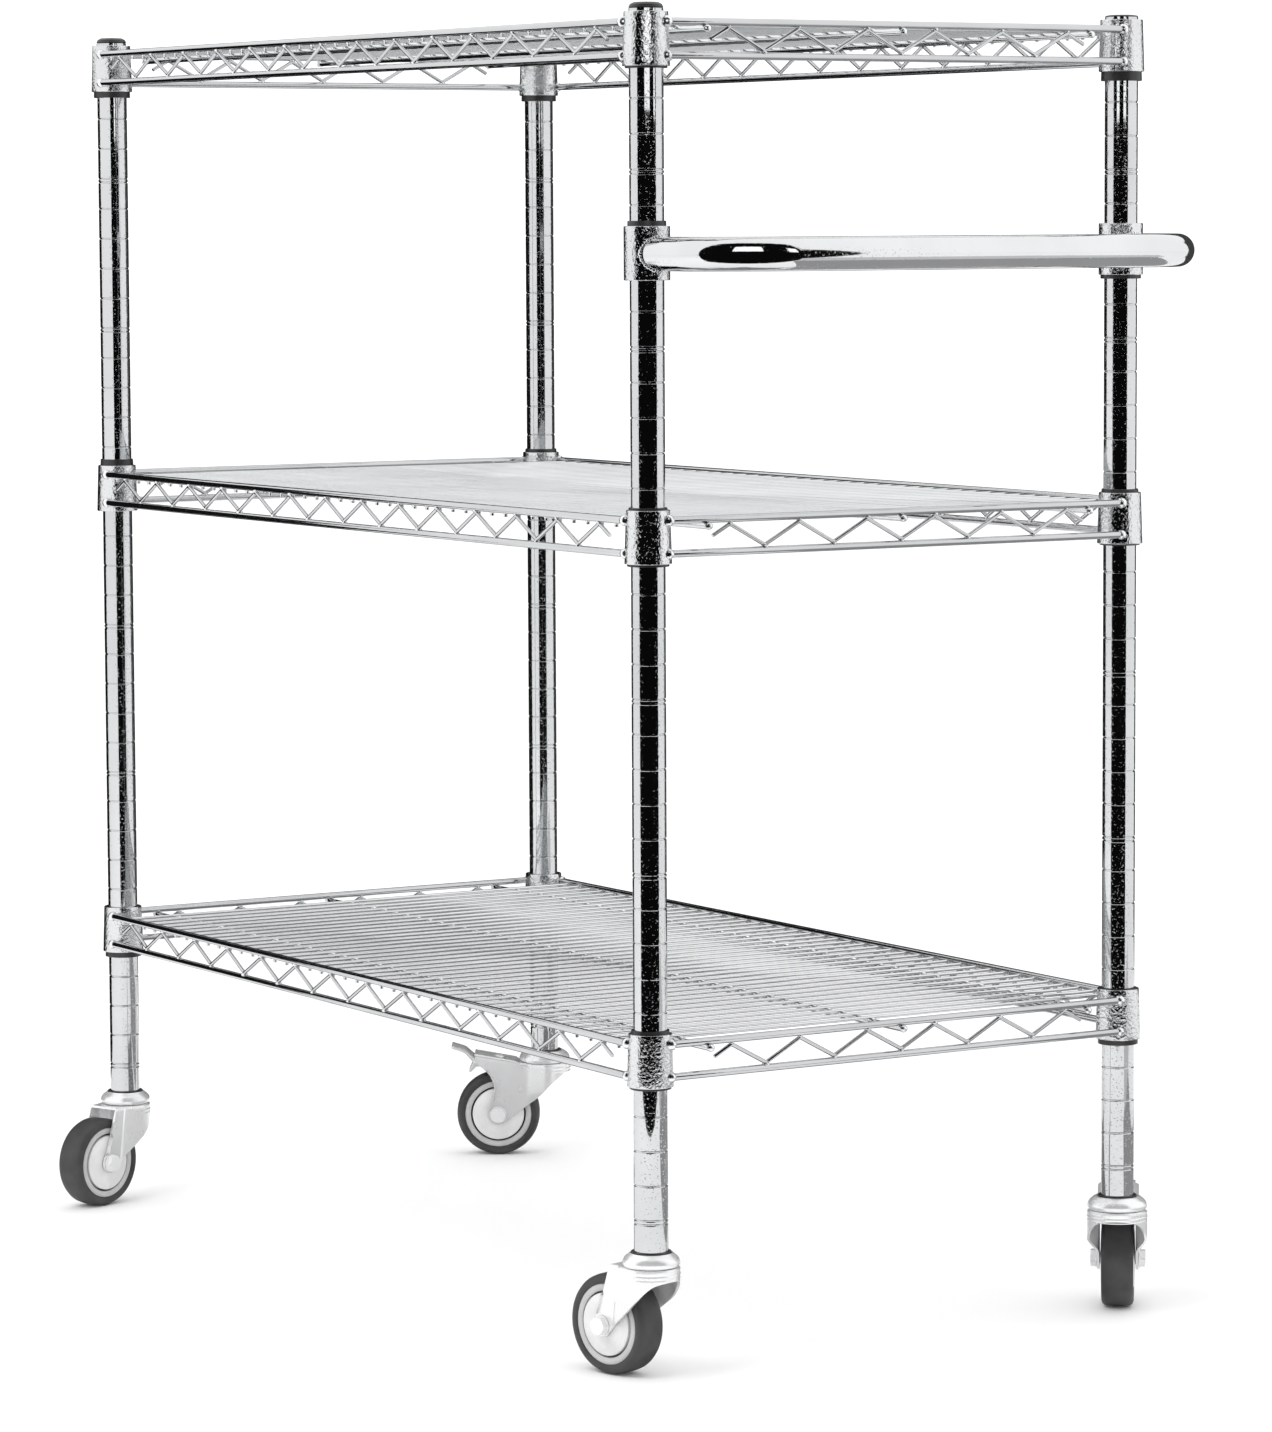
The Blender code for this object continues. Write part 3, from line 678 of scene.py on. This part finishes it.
def build_deck(level):
    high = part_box("shelf_deck_" + level)[1]
    wire_height = high.z - DECK_WIRE_RADIUS
    reach_y = high.y - CART_MIDDLE.y + DECK_WIRE_RADIUS * 0.4
    reach_x = HALF_X + ROD_OFFSET + SUPPORT_OVERHANG
    support_height = wire_height - DECK_WIRE_RADIUS - SUPPORT_RADIUS + WELD_BITE
    piece, deck = Piece("wire_deck_" + level), FINISHES["deck"]
    hook = wire_height - DECK_HOOK
    bent = [(-reach_y, hook), (-reach_y, wire_height), (reach_y, wire_height), (reach_y, hook)]
    one = wire([(0, y, z) for y, z in bent], DECK_WIRE_RADIUS, deck, DECK_WIRE_BEND, sides=10)
    first = CART_MIDDLE.x - (DECK_WIRES - 1) / 2 * DECK_WIRE_PITCH
    wires = copies(one, deck, DECK_WIRES, (first, CART_MIDDLE.y, 0), (DECK_WIRE_PITCH, 0, 0))
    piece.add(wires, deck)
    crossings = []
    for side in SUPPORT_PLACES:
        ends = along("X", side, [(-reach_x, support_height), (reach_x, support_height)])
        piece.add(wire(ends, SUPPORT_RADIUS, deck), deck)
        for number in range(DECK_WIRES):
            x = first + number * DECK_WIRE_PITCH
            crossings.append((x, CART_MIDDLE.y + side, wire_height - DECK_WIRE_RADIUS))
        piece.weld(ends, "support_end")
    piece.weld(crossings, "crossing")
    wire_ends = []
    for number in range(DECK_WIRES):
        x = first + number * DECK_WIRE_PITCH
        for side in (-reach_y, reach_y):
            wire_ends.append((x, CART_MIDDLE.y + side * 1.002, wire_height - 0.0012))
    piece.weld(wire_ends, "wire_end")
    piece.done("root", "chrome", ["shelf_deck_" + level])


# ---------------------------------------------------------------- push handle
def build_handle():
    low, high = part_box("push_handle")
    axis_height = high.z - HANDLE_AXIS_BELOW_TOP
    start = POSTS["rear_left"].x + HANDLE_COLLAR_RADIUS - HANDLE_BITE
    out = high.x - HANDLE_TUBE_RADIUS
    left, right = POSTS["rear_left"].y, POSTS["rear_right"].y
    corners = [(start, left), (out, left), (out, right), (start, right)]
    piece = Piece("bent_tube_handle")
    path = [(x, y, axis_height) for x, y in corners]
    tube = wire(path, HANDLE_TUBE_RADIUS, FINISHES["handle"], HANDLE_BEND_RADIUS, 24, 48)
    piece.add(tube, FINISHES["handle"])
    seam = []
    for corner in ("rear_left", "rear_right"):
        post = POSTS[corner]
        shape = collar(high.z, low.z, HANDLE_COLLAR_RADIUS, HANDLE_COLLAR_RADIUS)
        piece.add(shape, FINISHES["collar"], at_post(corner))
        for number in range(SEAM_BEADS):
            angle = 2 * math.pi * number / SEAM_BEADS
            across = (HANDLE_TUBE_RADIUS + 0.0002) * math.cos(angle)
            ahead = math.sqrt(max(HANDLE_COLLAR_RADIUS**2 - across**2, 0))
            up = HANDLE_TUBE_RADIUS * math.sin(angle)
            seam.append((post.x + ahead, post.y + across, axis_height + up))
    piece.weld(seam, "handle_seam")
    piece.done("root", "chrome", ["push_handle"])


# ---------------------------------------------------------------- casters
def spline(points, count):
    """A smooth line through points, evenly spread in share of the way."""
    points = [Vector(p) for p in points]
    ends = [points[0] * 2 - points[1]] + points + [points[-1] * 2 - points[-2]]
    lengths = [0.0]
    for a, b in zip(points, points[1:]):
        lengths.append(lengths[-1] + (b - a).length)
    made = []
    for i in range(count + 1):
        want = lengths[-1] * i / count
        k = next((n for n in range(1, len(lengths)) if want <= lengths[n] + 1e-12), len(lengths) - 1) - 1
        s = (want - lengths[k]) / max(lengths[k + 1] - lengths[k], 1e-12)
        a, b, c, d = ends[k:k + 4]
        square, cube = 2 * a - 5 * b + 4 * c - d, 3 * b - a - 3 * c + d
        made.append(0.5 * (2 * b + (c - a) * s + square * s**2 + cube * s**3))
    return made


def arc_points(centre, radius, start, end, steps):
    angles = [math.radians(start + (end - start) * i / steps) for i in range(steps + 1)]
    return [(centre[0] + radius * math.cos(a), centre[1] + radius * math.sin(a)) for a in angles]


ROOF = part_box("caster_head_rear_left")[0].z - GAP
AXLE = JOINTS["wheel_spin_rear_left"]["pos_m"][2]
DRAWN_ROOF, DRAWN_AXLE = 0.0800, 0.0375

# Each fork from the side, as (distance behind the swivel, height): the fold between the round nose and
# the leg, the lower edge in front, the edge behind, and the boss round the bolt (radius, start, end).
PLAIN_FORK = {
    "radius": 0.0210,
    "fold": [(0.0178, DRAWN_ROOF), (0.0232, 0.0426)],
    "front": [(-0.0210, 0.0716), (-0.0150, 0.0686), (-0.0043, 0.0586), (0.0085, 0.0489), (0.0232, 0.0392)],
    "rear": [(0.0275, DRAWN_ROOF), (0.0331, 0.0640), (0.0386, 0.0480), (0.0418, 0.0430)],
    "boss": (0.0085, -135, 38),
    "roof_step": 0.0, "roof_rise": 0.0, "pinched": False, "crease": 0.0011,
}
BRAKED_FORK = {
    "radius": 0.0231,
    "fold": [(0.0135, DRAWN_ROOF), (0.0150, 0.0454)],
    "front": [(-0.0231, 0.0740), (-0.0185, 0.0722), (-0.0062, 0.0634), (0.0069, 0.0511), (0.0150, 0.0454)],
    "rear": [(0.0630, 0.0882), (0.0616, 0.0810), (0.0570, 0.0768), (0.0500, 0.0722), (0.0454, 0.0660),
             (0.0446, 0.0580), (0.0472, 0.0462)],
    "boss": (0.0092, -135, 55),
    "roof_step": 0.0022, "roof_rise": 0.0088, "pinched": True, "crease": 0.0003,
}


def stretched_fork(plan):
    """The plan with its heights above the axle stretched to reach the roof."""
    share = (ROOF - AXLE) / (DRAWN_ROOF - DRAWN_AXLE)
    made = dict(plan)
    for name in ("fold", "front", "rear"):
        made[name] = [(t, AXLE + (z - DRAWN_AXLE) * share) for t, z in plan[name]]
    return made


def blend_share(value, low, high):
    """A share that eases from 0 at low to 1 at high."""
    share = min(max((value - low) / (high - low), 0.0), 1.0)
    return share * share * (3 - 2 * share)


def fork_half_width(plan, t, z):
    """Half the fork's width at t behind the swivel and height z."""
    radius = plan["radius"]
    (top_t, top_z), (foot_t, foot_z) = plan["fold"]
    fold = top_t + (foot_t - top_t) * (top_z - z) / (top_z - foot_z)
    if t <= 0:
        width = math.sqrt(max(radius**2 - t**2, 0))
    elif t < fold + 0.0002:
        width = radius + (LEG_OUTER + plan["crease"] - radius) * t / fold
    else:
        width = LEG_OUTER
    if plan["pinched"]:
        width = min(width, LEG_OUTER + (width - LEG_OUTER) * blend_share(z, 0.042, 0.058))
    return width


def roof_height(plan, t):
    """The braked fork's roof steps up behind its head and then rises to the rear."""
    start = plan["radius"] + 0.0010
    rise = plan["roof_step"] * blend_share(t, start, start + 0.0022)
    return ROOF + rise + plan["roof_rise"] * max(t - start - 0.002, 0) / 0.054


def height_on(line, t):
    """The height of a line of points at t, or of its first point if t is off it."""
    for a, b in zip(line, line[1:]):
        if a.x <= t <= b.x + 1e-12:
            return b.y + (a.y - b.y) * (b.x - t) / (b.x - a.x)
    return line[0].y


def steps_between(top, foot):
    return [top.lerp(foot, row / FORK_ROWS) for row in range(FORK_ROWS + 1)]


def patch_columns(tops, bottom, left, right):
    """Columns of points that fill the patch between a top, a bottom, a left and a right edge."""
    columns = []
    for k, (top, foot) in enumerate(zip(tops, bottom)):
        u = k / (len(tops) - 1)
        column = []
        for row in range(FORK_ROWS + 1):
            v = row / FORK_ROWS
            edge = left[row].lerp(right[row], u) + top.lerp(foot, v)
            flat = tops[0].lerp(tops[-1], u).lerp(bottom[0].lerp(bottom[-1], u), v)
            column.append(edge - flat)
        columns.append(column)
    return columns


def fork_columns(plan, trail, axle):
    """Columns of (t, z) points from the roof edge down, from the fork's front round to its rear edge."""
    fold_top, fold_foot = (Vector(p) for p in plan["fold"])
    front = spline(plan["front"], 60)
    starts = [-plan["radius"] * math.cos(math.pi / 2 * k / NOSE_COLUMNS) for k in range(NOSE_COLUMNS)]
    starts += [fold_top.x * k / WALL_COLUMNS for k in range(WALL_COLUMNS)]
    columns = []
    for start in starts:
        lean = max(start, 0) / fold_top.x * (fold_foot.x - fold_top.x)
        foot = Vector((start + lean, height_on(front, start + lean)))
        columns.append(steps_between(Vector((start, roof_height(plan, start))), foot))
    last = Vector((fold_foot.x, front[-1].y))
    left = steps_between(Vector((fold_top.x, roof_height(plan, fold_top.x))), last)
    boss_radius, start, end = plan["boss"]
    boss = arc_points((trail, axle), boss_radius, start, end, 14)
    right = spline(plan["rear"] + [boss[-1]], FORK_ROWS)
    bottom = spline([last] + boss, LEG_COLUMNS)
    leg_length = plan["rear"][0][0] - fold_top.x
    places = [fold_top.x + leg_length * k / LEG_COLUMNS for k in range(LEG_COLUMNS + 1)]
    tops = [Vector((t, roof_height(plan, t))) for t in places]
    return columns + patch_columns(tops, bottom, left, right)


def fork_strip(plan, column, side, bend_steps=4, roof_steps=5):
    """One strip of the shell: up the wall along a column, over the bend and in to the roof's middle."""
    roof = column[0]
    strip = []
    for point in reversed(column):
        z = min(point.y, roof.y - FORK_BEND)
        strip.append((-point.x, side * fork_half_width(plan, point.x, z), z))
    width = fork_half_width(plan, roof.x, roof.y - FORK_BEND)
    turn = min(FORK_BEND, width)
    for k in range(1, bend_steps + 1):
        angle = math.pi / 2 * k / bend_steps
        y = width - turn * (1 - math.cos(angle))
        strip.append((-roof.x, side * y, roof.y - FORK_BEND + FORK_BEND * math.sin(angle)))
    for k in range(1, roof_steps + 1):
        strip.append((-roof.x, side * (width - turn) * (1 - k / roof_steps), roof.y))
    return strip


def fork_shell(plan, trail, axle):
    """The pressed shell: walls that bend over into the roof, mirrored and given their thickness."""
    shape = bmesh.new()
    for side in (-1, 1):
        strips = []
        for column in fork_columns(plan, trail, axle):
            strips.append([shape.verts.new(p) for p in fork_strip(plan, column, side)])
        for a, b in zip(strips, strips[1:]):
            for r in range(len(a) - 1):
                shape.faces.new((a[r], a[r + 1], b[r + 1], b[r]))
    bmesh.ops.remove_doubles(shape, verts=shape.verts, dist=2e-5)
    bmesh.ops.dissolve_degenerate(shape, edges=shape.edges, dist=1e-6)
    bmesh.ops.recalc_face_normals(shape, faces=shape.faces)
    upward = sum(f.normal.z for f in shape.faces if f.calc_center_median().z > ROOF - 0.001)
    if upward < 0:
        bmesh.ops.reverse_faces(shape, faces=shape.faces)
    thick = {"thickness": SHEET, "offset": -1.0, "use_even_offset": False}
    return with_modifiers(shape, [("SOLIDIFY", thick)])


def head_shape(radius):
    """The race housing: a domed cup with a turned-in rim, seen round the foot of the post."""
    foot = ROOF + GAP
    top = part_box("caster_head_rear_left")[1].z
    bore = KINGPIN_RADIUS + GAP
    wall = [(-0.0010, 0.0), (0.0001, 0.0012), (0.0004, 0.0030)]
    wall += [(0.0, 0.0050), (-0.0012, 0.0070), (-0.0030, 0.0085)]
    profile = [(bore, foot)] + [(radius + out, foot + up) for out, up in wall]
    profile += [(radius - 0.0050, top - 0.0004), (0.0158, top), (0.0150, top - 0.0006)]
    profile += [(0.0148, top - 0.0040), (bore, top - 0.0040), (bore, foot)]
    return turned(rounded(profile, 0.0010)[:-1], HEAD_SIDES, closed=True)


def stem_shape():
    """The kingpin through the head, the neck above it and the insert that fills the post's foot."""
    low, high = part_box("caster_stem_rear_left")
    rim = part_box("caster_head_rear_left")[1].z - RIM_RECESS
    insert = POST_RADIUS - POST_WALL - GAP
    profile = [(0, low.z), (KINGPIN_RADIUS, low.z), (KINGPIN_RADIUS, rim), (STEM_NECK_RADIUS, rim)]
    profile += [(STEM_NECK_RADIUS, POST_FOOT - GAP), (insert, POST_FOOT + 0.001)]
    profile += [(insert, high.z), (0, high.z)]
    return turned(profile, STEM_SIDES)


def hexagon(half, height, chamfer=0.0008):
    """A hexagon head or nut standing on Z, its upper corners turned off into a round face."""
    shape = bmesh.new()
    rings = []
    edge = [(half, 0, 0), (half, height - chamfer, 0)]
    edge += [(half * 0.93, height, 0.6), (half * 0.8, height, 1.0)]
    for radius, z, share in edge:
        ring = []
        for k in range(HEXAGON_SIDES):
            angle = 2 * math.pi * k / HEXAGON_SIDES
            corner = math.cos(math.pi / 6) / math.cos(math.fmod(angle, math.pi / 3) - math.pi / 6)
            reach = radius * (corner + (1 - corner) * share)
            ring.append(shape.verts.new((reach * math.cos(angle), reach * math.sin(angle), z)))
        rings.append(ring)
    for low, high in zip(rings, rings[1:]):
        for k in range(HEXAGON_SIDES):
            after = (k + 1) % HEXAGON_SIDES
            shape.faces.new((low[k], low[after], high[after], high[k]))
    shape.faces.new(rings[0][::-1])
    shape.faces.new(rings[-1])
    return shape


def ring_through(points):
    """The whole section of a ring that shows the same outline on both faces of the wheel."""
    return points + [(r, -z) for r, z in reversed(points)]


def ring_on_face(points, face):
    """The section of a ring set into one face of the wheel."""
    closed = points + [(points[-1][0], HUB_INSET), (points[0][0], HUB_INSET)]
    return [(r, face * z) for r, z in closed]


def build_wheel(corner, axle_turn):
    """Outlines are (distance from the axle, distance from the wheel's middle)."""
    disc = [(0.0056, 0.0090), (0.0056, 0.0126), (0.0085, 0.0134), (0.0218, 0.0130)]
    disc += [(0.0232, 0.0120), (0.0234, 0.0090)]
    # A black ring set into each face between the pale disc and the grey rim: painted shade where the groove
    # between them lies in shadow.
    painted_gap_shade = [(0.0233, 0.0092), (0.0251, 0.0092)]
    rim = [(0.0248, 0.0090), (0.0250, 0.0112), (0.0264, 0.0119), (0.0284, 0.0121), (0.0299, 0.0112)]
    core = [(0.0070, 0.0085), (0.0245, 0.0085)]
    sections = [(ring_on_face(disc, face), "disc") for face in (1, -1)]
    sections += [(ring_through(rim), "rim")]
    sections += [(ring_on_face(painted_gap_shade, face), "black") for face in (1, -1)]
    sections += [(ring_through(core), "rim")]
    hub = Piece("wheel_centre_" + corner)
    for section, finish in sections:
        hub.add(turned(section, WHEEL_SIDES, closed=True), FINISHES[finish], axle_turn)
    hub.done("wheel_" + corner, "grey_plastic", ["wheel_hub_" + corner])
    shoulder = [(0.0300, 0.0116), (0.0312, 0.0124), (0.0335, 0.0125), (0.0356, 0.0116)]
    shoulder += [(0.0369, 0.0094), (0.0374, 0.0060)]
    ring = shoulder + [(0.0375, 0.0)] + [(r, -z) for r, z in reversed(shoulder)]
    tyre = Piece("tread_" + corner).add(turned(ring, WHEEL_SIDES, closed=True), FINISHES["rubber"], axle_turn)
    tyre.done("wheel_" + corner, "grey_rubber", ["tyre_" + corner])


def pedal_shape():
    """The brake lever from the side about its pivot: it rises to the rear, with a short lip below."""
    tread = [(0.0040, -0.0010), (-0.0040, 0.0022), (-0.0100, 0.0066), (-0.0150, 0.0108), (-0.0270, 0.0146)]
    upper = spline(tread, 18)
    under = spline([(-0.0272, 0.0120), (-0.0160, 0.0080), (-0.0116, 0.0038), (-0.0076, -0.0006)], 12)
    lip = [Vector(p) for p in ((-0.0115, -0.0090), (-0.0100, -0.0098), (-0.0045, -0.0046), (0.0010, -0.0046))]
    shape = bmesh.new()
    corners = [shape.verts.new((p.x, -PEDAL_WIDTH / 2, p.y)) for p in upper + under + lip]
    base = shape.faces.new(corners)
    grown = bmesh.ops.extrude_face_region(shape, geom=[base])
    moved = [v for v in grown["geom"] if isinstance(v, bmesh.types.BMVert)]
    bmesh.ops.translate(shape, vec=(0, PEDAL_WIDTH, 0), verts=moved)
    bmesh.ops.recalc_face_normals(shape, faces=shape.faces)
    edge = {"width": 0.0005, "segments": 2, "limit_method": "ANGLE", "angle_limit": math.radians(50)}
    return with_modifiers(shape, [("BEVEL", edge)])


def build_head_and_stem(corner, radius):
    zinc_plate, post = FINISHES["zinc"], at_post(corner)
    head = Piece("race_housing_" + corner).add(head_shape(radius), zinc_plate, post)
    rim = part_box("caster_head_" + corner)[1].z
    foot = rim - RIM_RECESS
    # A black ring fills the recess under the rim, round the foot of the post: painted shade where the recess
    # lies in shadow.
    recess_shade_ring = [(0.0127, foot), (0.0146, foot), (0.0148, rim + 0.0008), (0.0127, rim + 0.0012)]
    head.add(turned(recess_shade_ring, POST_SIDES, closed=True), FINISHES["black"], post)
    head.done("root", "zinc_plate", ["caster_head_" + corner])
    stem = Piece("stem_" + corner).add(stem_shape(), zinc_plate, post)
    stem.done("root", "zinc_plate", ["caster_stem_" + corner])


def build_fork(corner, plan, place, trail, axle):
    """The shell, three pressed beads round its neck and, on a braked fork, a rivet on its roof."""
    zinc_plate = FINISHES["zinc"]
    fork = Piece("pressed_fork_" + corner).add(fork_shell(plan, trail, axle), zinc_plate, place)
    for below, width in ((0.0012, 0.00055), (0.0050, 0.0009), (0.0078, 0.0006)):
        around = arc_points((0, 0), plan["radius"] - width * 0.35, -84, 84, 24)
        bead = wire([(x, y, ROOF - below) for x, y in around], width, zinc_plate, sides=8)
        fork.add(bead, zinc_plate, place)
    if plan["pinched"]:
        at = place @ Matrix.Translation((-trail, 0, roof_height(plan, trail)))
        rivet = turned([(0.0062, -0.0004), (0.0058, 0.0008), (0.0040, 0.0017), (0, 0.0020)], 32)
        fork.add(rivet, zinc_plate, at)
    fork.done("swivel_" + corner, "zinc_plate", ["caster_fork_" + corner])


def rod_profile(radius, low, high):
    return [(0, low), (radius, low), (radius, high), (0, high)]


def build_bolt(corner, axle_turn):
    """The shank, with a washer and a hexagon on each side of the fork."""
    bolt, finish = Piece("axle_bolt_and_nut_" + corner), FINISHES["bolt"]
    shank = turned(rod_profile(BOLT_RADIUS, -BOLT_HALF_LENGTH, BOLT_HALF_LENGTH), 24)
    bolt.add(shank, finish, axle_turn)
    for face in (0, math.pi):
        seat = axle_turn @ Matrix.Rotation(face, 4, "X") @ Matrix.Translation((0, 0, LEG_OUTER + GAP))
        bolt.add(turned(rod_profile(WASHER_RADIUS, 0, WASHER_HEIGHT), 36), finish, seat)
        bolt.add(hexagon(BOLT_HEAD_RADIUS, BOLT_HEAD_HEIGHT), finish, seat)
    bolt.done("swivel_" + corner, "zinc_plate", ["axle_bolt_" + corner])


def build_pedal(corner, place):
    """The lever, drawn raised, or pressed down where its joint lets it only rise."""
    joint = JOINTS["brake_pedal_" + corner]
    local = place.inverted() @ Vector(joint["pos_m"])
    pressed = Matrix.Rotation(math.radians(-joint["range_deg"][1]), 4, "Y")
    at = place @ Matrix.Translation(local) @ pressed
    pedal = Piece("brake_lever_" + corner).add(pedal_shape(), FINISHES["zinc"], at)
    pedal.done("pedal_" + corner, "zinc_plate", ["brake_pedal_" + corner])


def build_caster(corner):
    place, trail, axle = caster_place(corner)
    braked = "brake_pedal_" + corner in JOINTS
    plan = stretched_fork(BRAKED_FORK if braked else PLAIN_FORK)
    build_head_and_stem(corner, HEAD_RADIUS["braked" if braked else "plain"])
    build_fork(corner, plan, place, trail, axle)
    axle_turn = place @ Matrix.Translation((-trail, 0, axle)) @ Matrix.Rotation(math.radians(90), 4, "X")
    build_bolt(corner, axle_turn)
    build_wheel(corner, axle_turn)
    if braked:
        build_pedal(corner, place)


# ---------------------------------------------------------------- studio
def card(name, corners, low, high, brightness):
    """An upright card that only shows as a reflection, placed from the cart's middle."""
    (ax, ay), (bx, by) = corners
    reflector(name, [(ax, ay, low), (bx, by, low), (bx, by, high), (ax, ay, high)], brightness)


def shade(name, start, end, height, brightness):
    """A level card that only shows as a reflection, placed from the cart's middle."""
    (ax, ay), (bx, by) = start, end
    reflector(name, [(ax, ay, height), (bx, ay, height), (bx, by, height), (ax, by, height)], brightness)


def reflector(name, points, brightness):
    """A glowing sheet that neither the camera sees nor the light falls from."""
    mesh = bpy.data.meshes.new(name)
    corners = [(CART_MIDDLE.x + x, CART_MIDDLE.y + y, z) for x, y, z in points]
    mesh.from_pydata(corners, [], [(0, 1, 2, 3)])
    made = in_scene(name, mesh)
    paper = bpy.data.materials.new(name)
    paper.use_nodes = True
    nodes = paper.node_tree.nodes
    nodes.remove(nodes["Principled BSDF"])
    glow = nodes.new("ShaderNodeEmission")
    glow.inputs["Color"].default_value = (brightness, brightness, brightness, 1)
    paper.node_tree.links.new(glow.outputs[0], nodes["Material Output"].inputs[0])
    mesh.materials.append(paper)
    made.visible_camera = made.visible_diffuse = made.visible_shadow = False
    made.visible_transmission = False


def build_studio():
    bpy.context.scene.view_settings.view_transform = "Standard"
    world = bpy.data.worlds.new("studio")
    world.use_nodes = True
    sky = world.node_tree.nodes["Background"]
    sky.inputs["Color"].default_value = (1, 1, 1, 1)
    sky.inputs["Strength"].default_value = WORLD_LIGHT
    bpy.context.scene.world = world

    floor = Finish("paper_floor")
    floor.set("Base Color", floor.mix(floor.noise(0.8, 3.0), (0.97, 0.97, 0.97), (0.95, 0.95, 0.95)))
    floor.set("Roughness", 0.9)
    shape = bmesh.new()
    bmesh.ops.create_grid(shape, x_segments=2, y_segments=2, size=FLOOR_SIZE)
    mesh = as_mesh(shape)
    mesh.materials.append(floor.material)
    ground = in_scene("ground", mesh)

    # These sheets show only in reflections on the chrome: painted reflections of a dark room and dark walls,
    # painted shade under the cart, and painted reflections of a grey floor beyond it.
    card("dark_room", ((0.38, -0.97), (1.37, 0.414)), 0.115, 2.4, 0.004)
    card("dark_side", ((-1.10, -0.79), (-1.10, 2.0)), 0.0, 1.0, 0.01)
    card("dark_wall", ((-2.40, -0.30), (0.10, 2.60)), 0.0, 1.7, 0.06)
    shade("shade_under_cart", (-HALF_X, -HALF_Y), (HALF_X, HALF_Y), 0.004, 0.25)
    shade("grey_floor", (-0.20, 0.30), (1.35, 1.05), 0.005, 0.38)
    shade("pale_floor", (1.35, 0.40), (2.20, 1.40), 0.004, 0.70)
    # Bright sheets that glow though they are no lamps and show only in reflections: painted window highlights
    # on the handle and the chrome.
    card("near_window", ((0.720, -0.478), (0.860, -0.283)), 0.93, 1.20, 1.5)
    card("next_window", ((1.040, -0.031), (1.180, 0.165)), 0.93, 1.20, 1.5)
    card("far_window", ((1.283, 0.306), (1.316, 0.352)), 1.14, 1.80, 1.5)
    lamp = bpy.data.lights.new("soft_lamp", "AREA")
    lamp.shape, lamp.size, lamp.energy = "DISK", 1.6, 26.0
    hung = in_scene("soft_lamp", lamp)
    hung.location = LAMP_PLACE
    aim = Vector(LAMP_PLACE) - Vector(LAMP_AIM)
    hung.rotation_euler = aim.to_track_quat("Z", "Y").to_euler()
    hung.visible_glossy = False


def build_camera():
    """A long lens from the handle end, a little above the middle shelf."""
    lens = bpy.data.cameras.new("camera")
    lens.lens, lens.sensor_width = CAMERA_LENS, 36.0
    lens.clip_start, lens.clip_end = 0.1, 100.0
    camera = in_scene("camera", lens)
    x, y, height = CAMERA_PLACE
    camera.location = (CART_MIDDLE.x + x, CART_MIDDLE.y + y, height)
    heading, dip, lean = (math.radians(a) for a in CAMERA_TURN)
    turn = Matrix.Rotation(heading, 4, "Z") @ Matrix.Rotation(math.pi / 2 - dip, 4, "X")
    camera.rotation_euler = (turn @ Matrix.Rotation(-lean, 4, "Z")).to_euler()
    bpy.context.scene.camera = camera


TREES = {"wire": bent_wire_tree(), "row": row_tree(), "beads": beads_tree()}
BEAD = in_scene("bead", ball())

# Chrome is given by its colour, roughness, the scale and height of its ripple, and how deep it is pitted.
FINISHES = {
    "post": chrome("polished_tube", (0.62, 0.63, 0.64), 0.035, 40.0, 0.00004, 1.6),
    "rod": chrome("plated_wire", (0.58, 0.59, 0.60), 0.050, 90.0, 0.00003),
    "handle": chrome("polished_handle", (0.72, 0.73, 0.74), 0.030, 25.0, 0.00004, 0.5),
    "collar": chrome("plated_collar", (0.70, 0.71, 0.72), 0.045, 420.0, 0.0005, 0.3),
    "weld": chrome("plated_weld", (0.84, 0.85, 0.86), 0.240, 500.0, 0.00020),
    "deck": chrome("plated_deck_wire", (0.72, 0.73, 0.74), 0.090, 90.0, 0.00002),
    "bolt": zinc("zinc_plated_bolt", 0.25),
    "zinc": zinc("zinc_plated_steel", 0.55),
    "rim": moulded("grey_wheel_rim", (0.50, 0.50, 0.50), (0.44, 0.44, 0.44), 0.40, 0.00001),
    "disc": moulded("pale_guard_disc", (0.74, 0.74, 0.74), (0.64, 0.64, 0.64), 0.32, 0.00001),
    "rubber": moulded("grey_rubber", (0.044, 0.044, 0.046), (0.030, 0.030, 0.031), 0.50, 0.00004),
    "black": moulded("black_plastic", (0.012, 0.012, 0.012), (0.020, 0.020, 0.020), 0.30, 0.00002),
}

build_camera()
build_studio()
build_posts()
build_sleeves()
for level in LEVELS:
    build_frame(level)
    build_deck(level)
build_handle()
for corner in CORNERS:
    build_caster(corner)
bpy.data.objects.remove(BEAD)
for name, node in frame["nodes"].items():
    if name.startswith("axle_bushing_"):
        node.data.materials.clear()
        node.data.materials.append(FINISHES["black"].material)
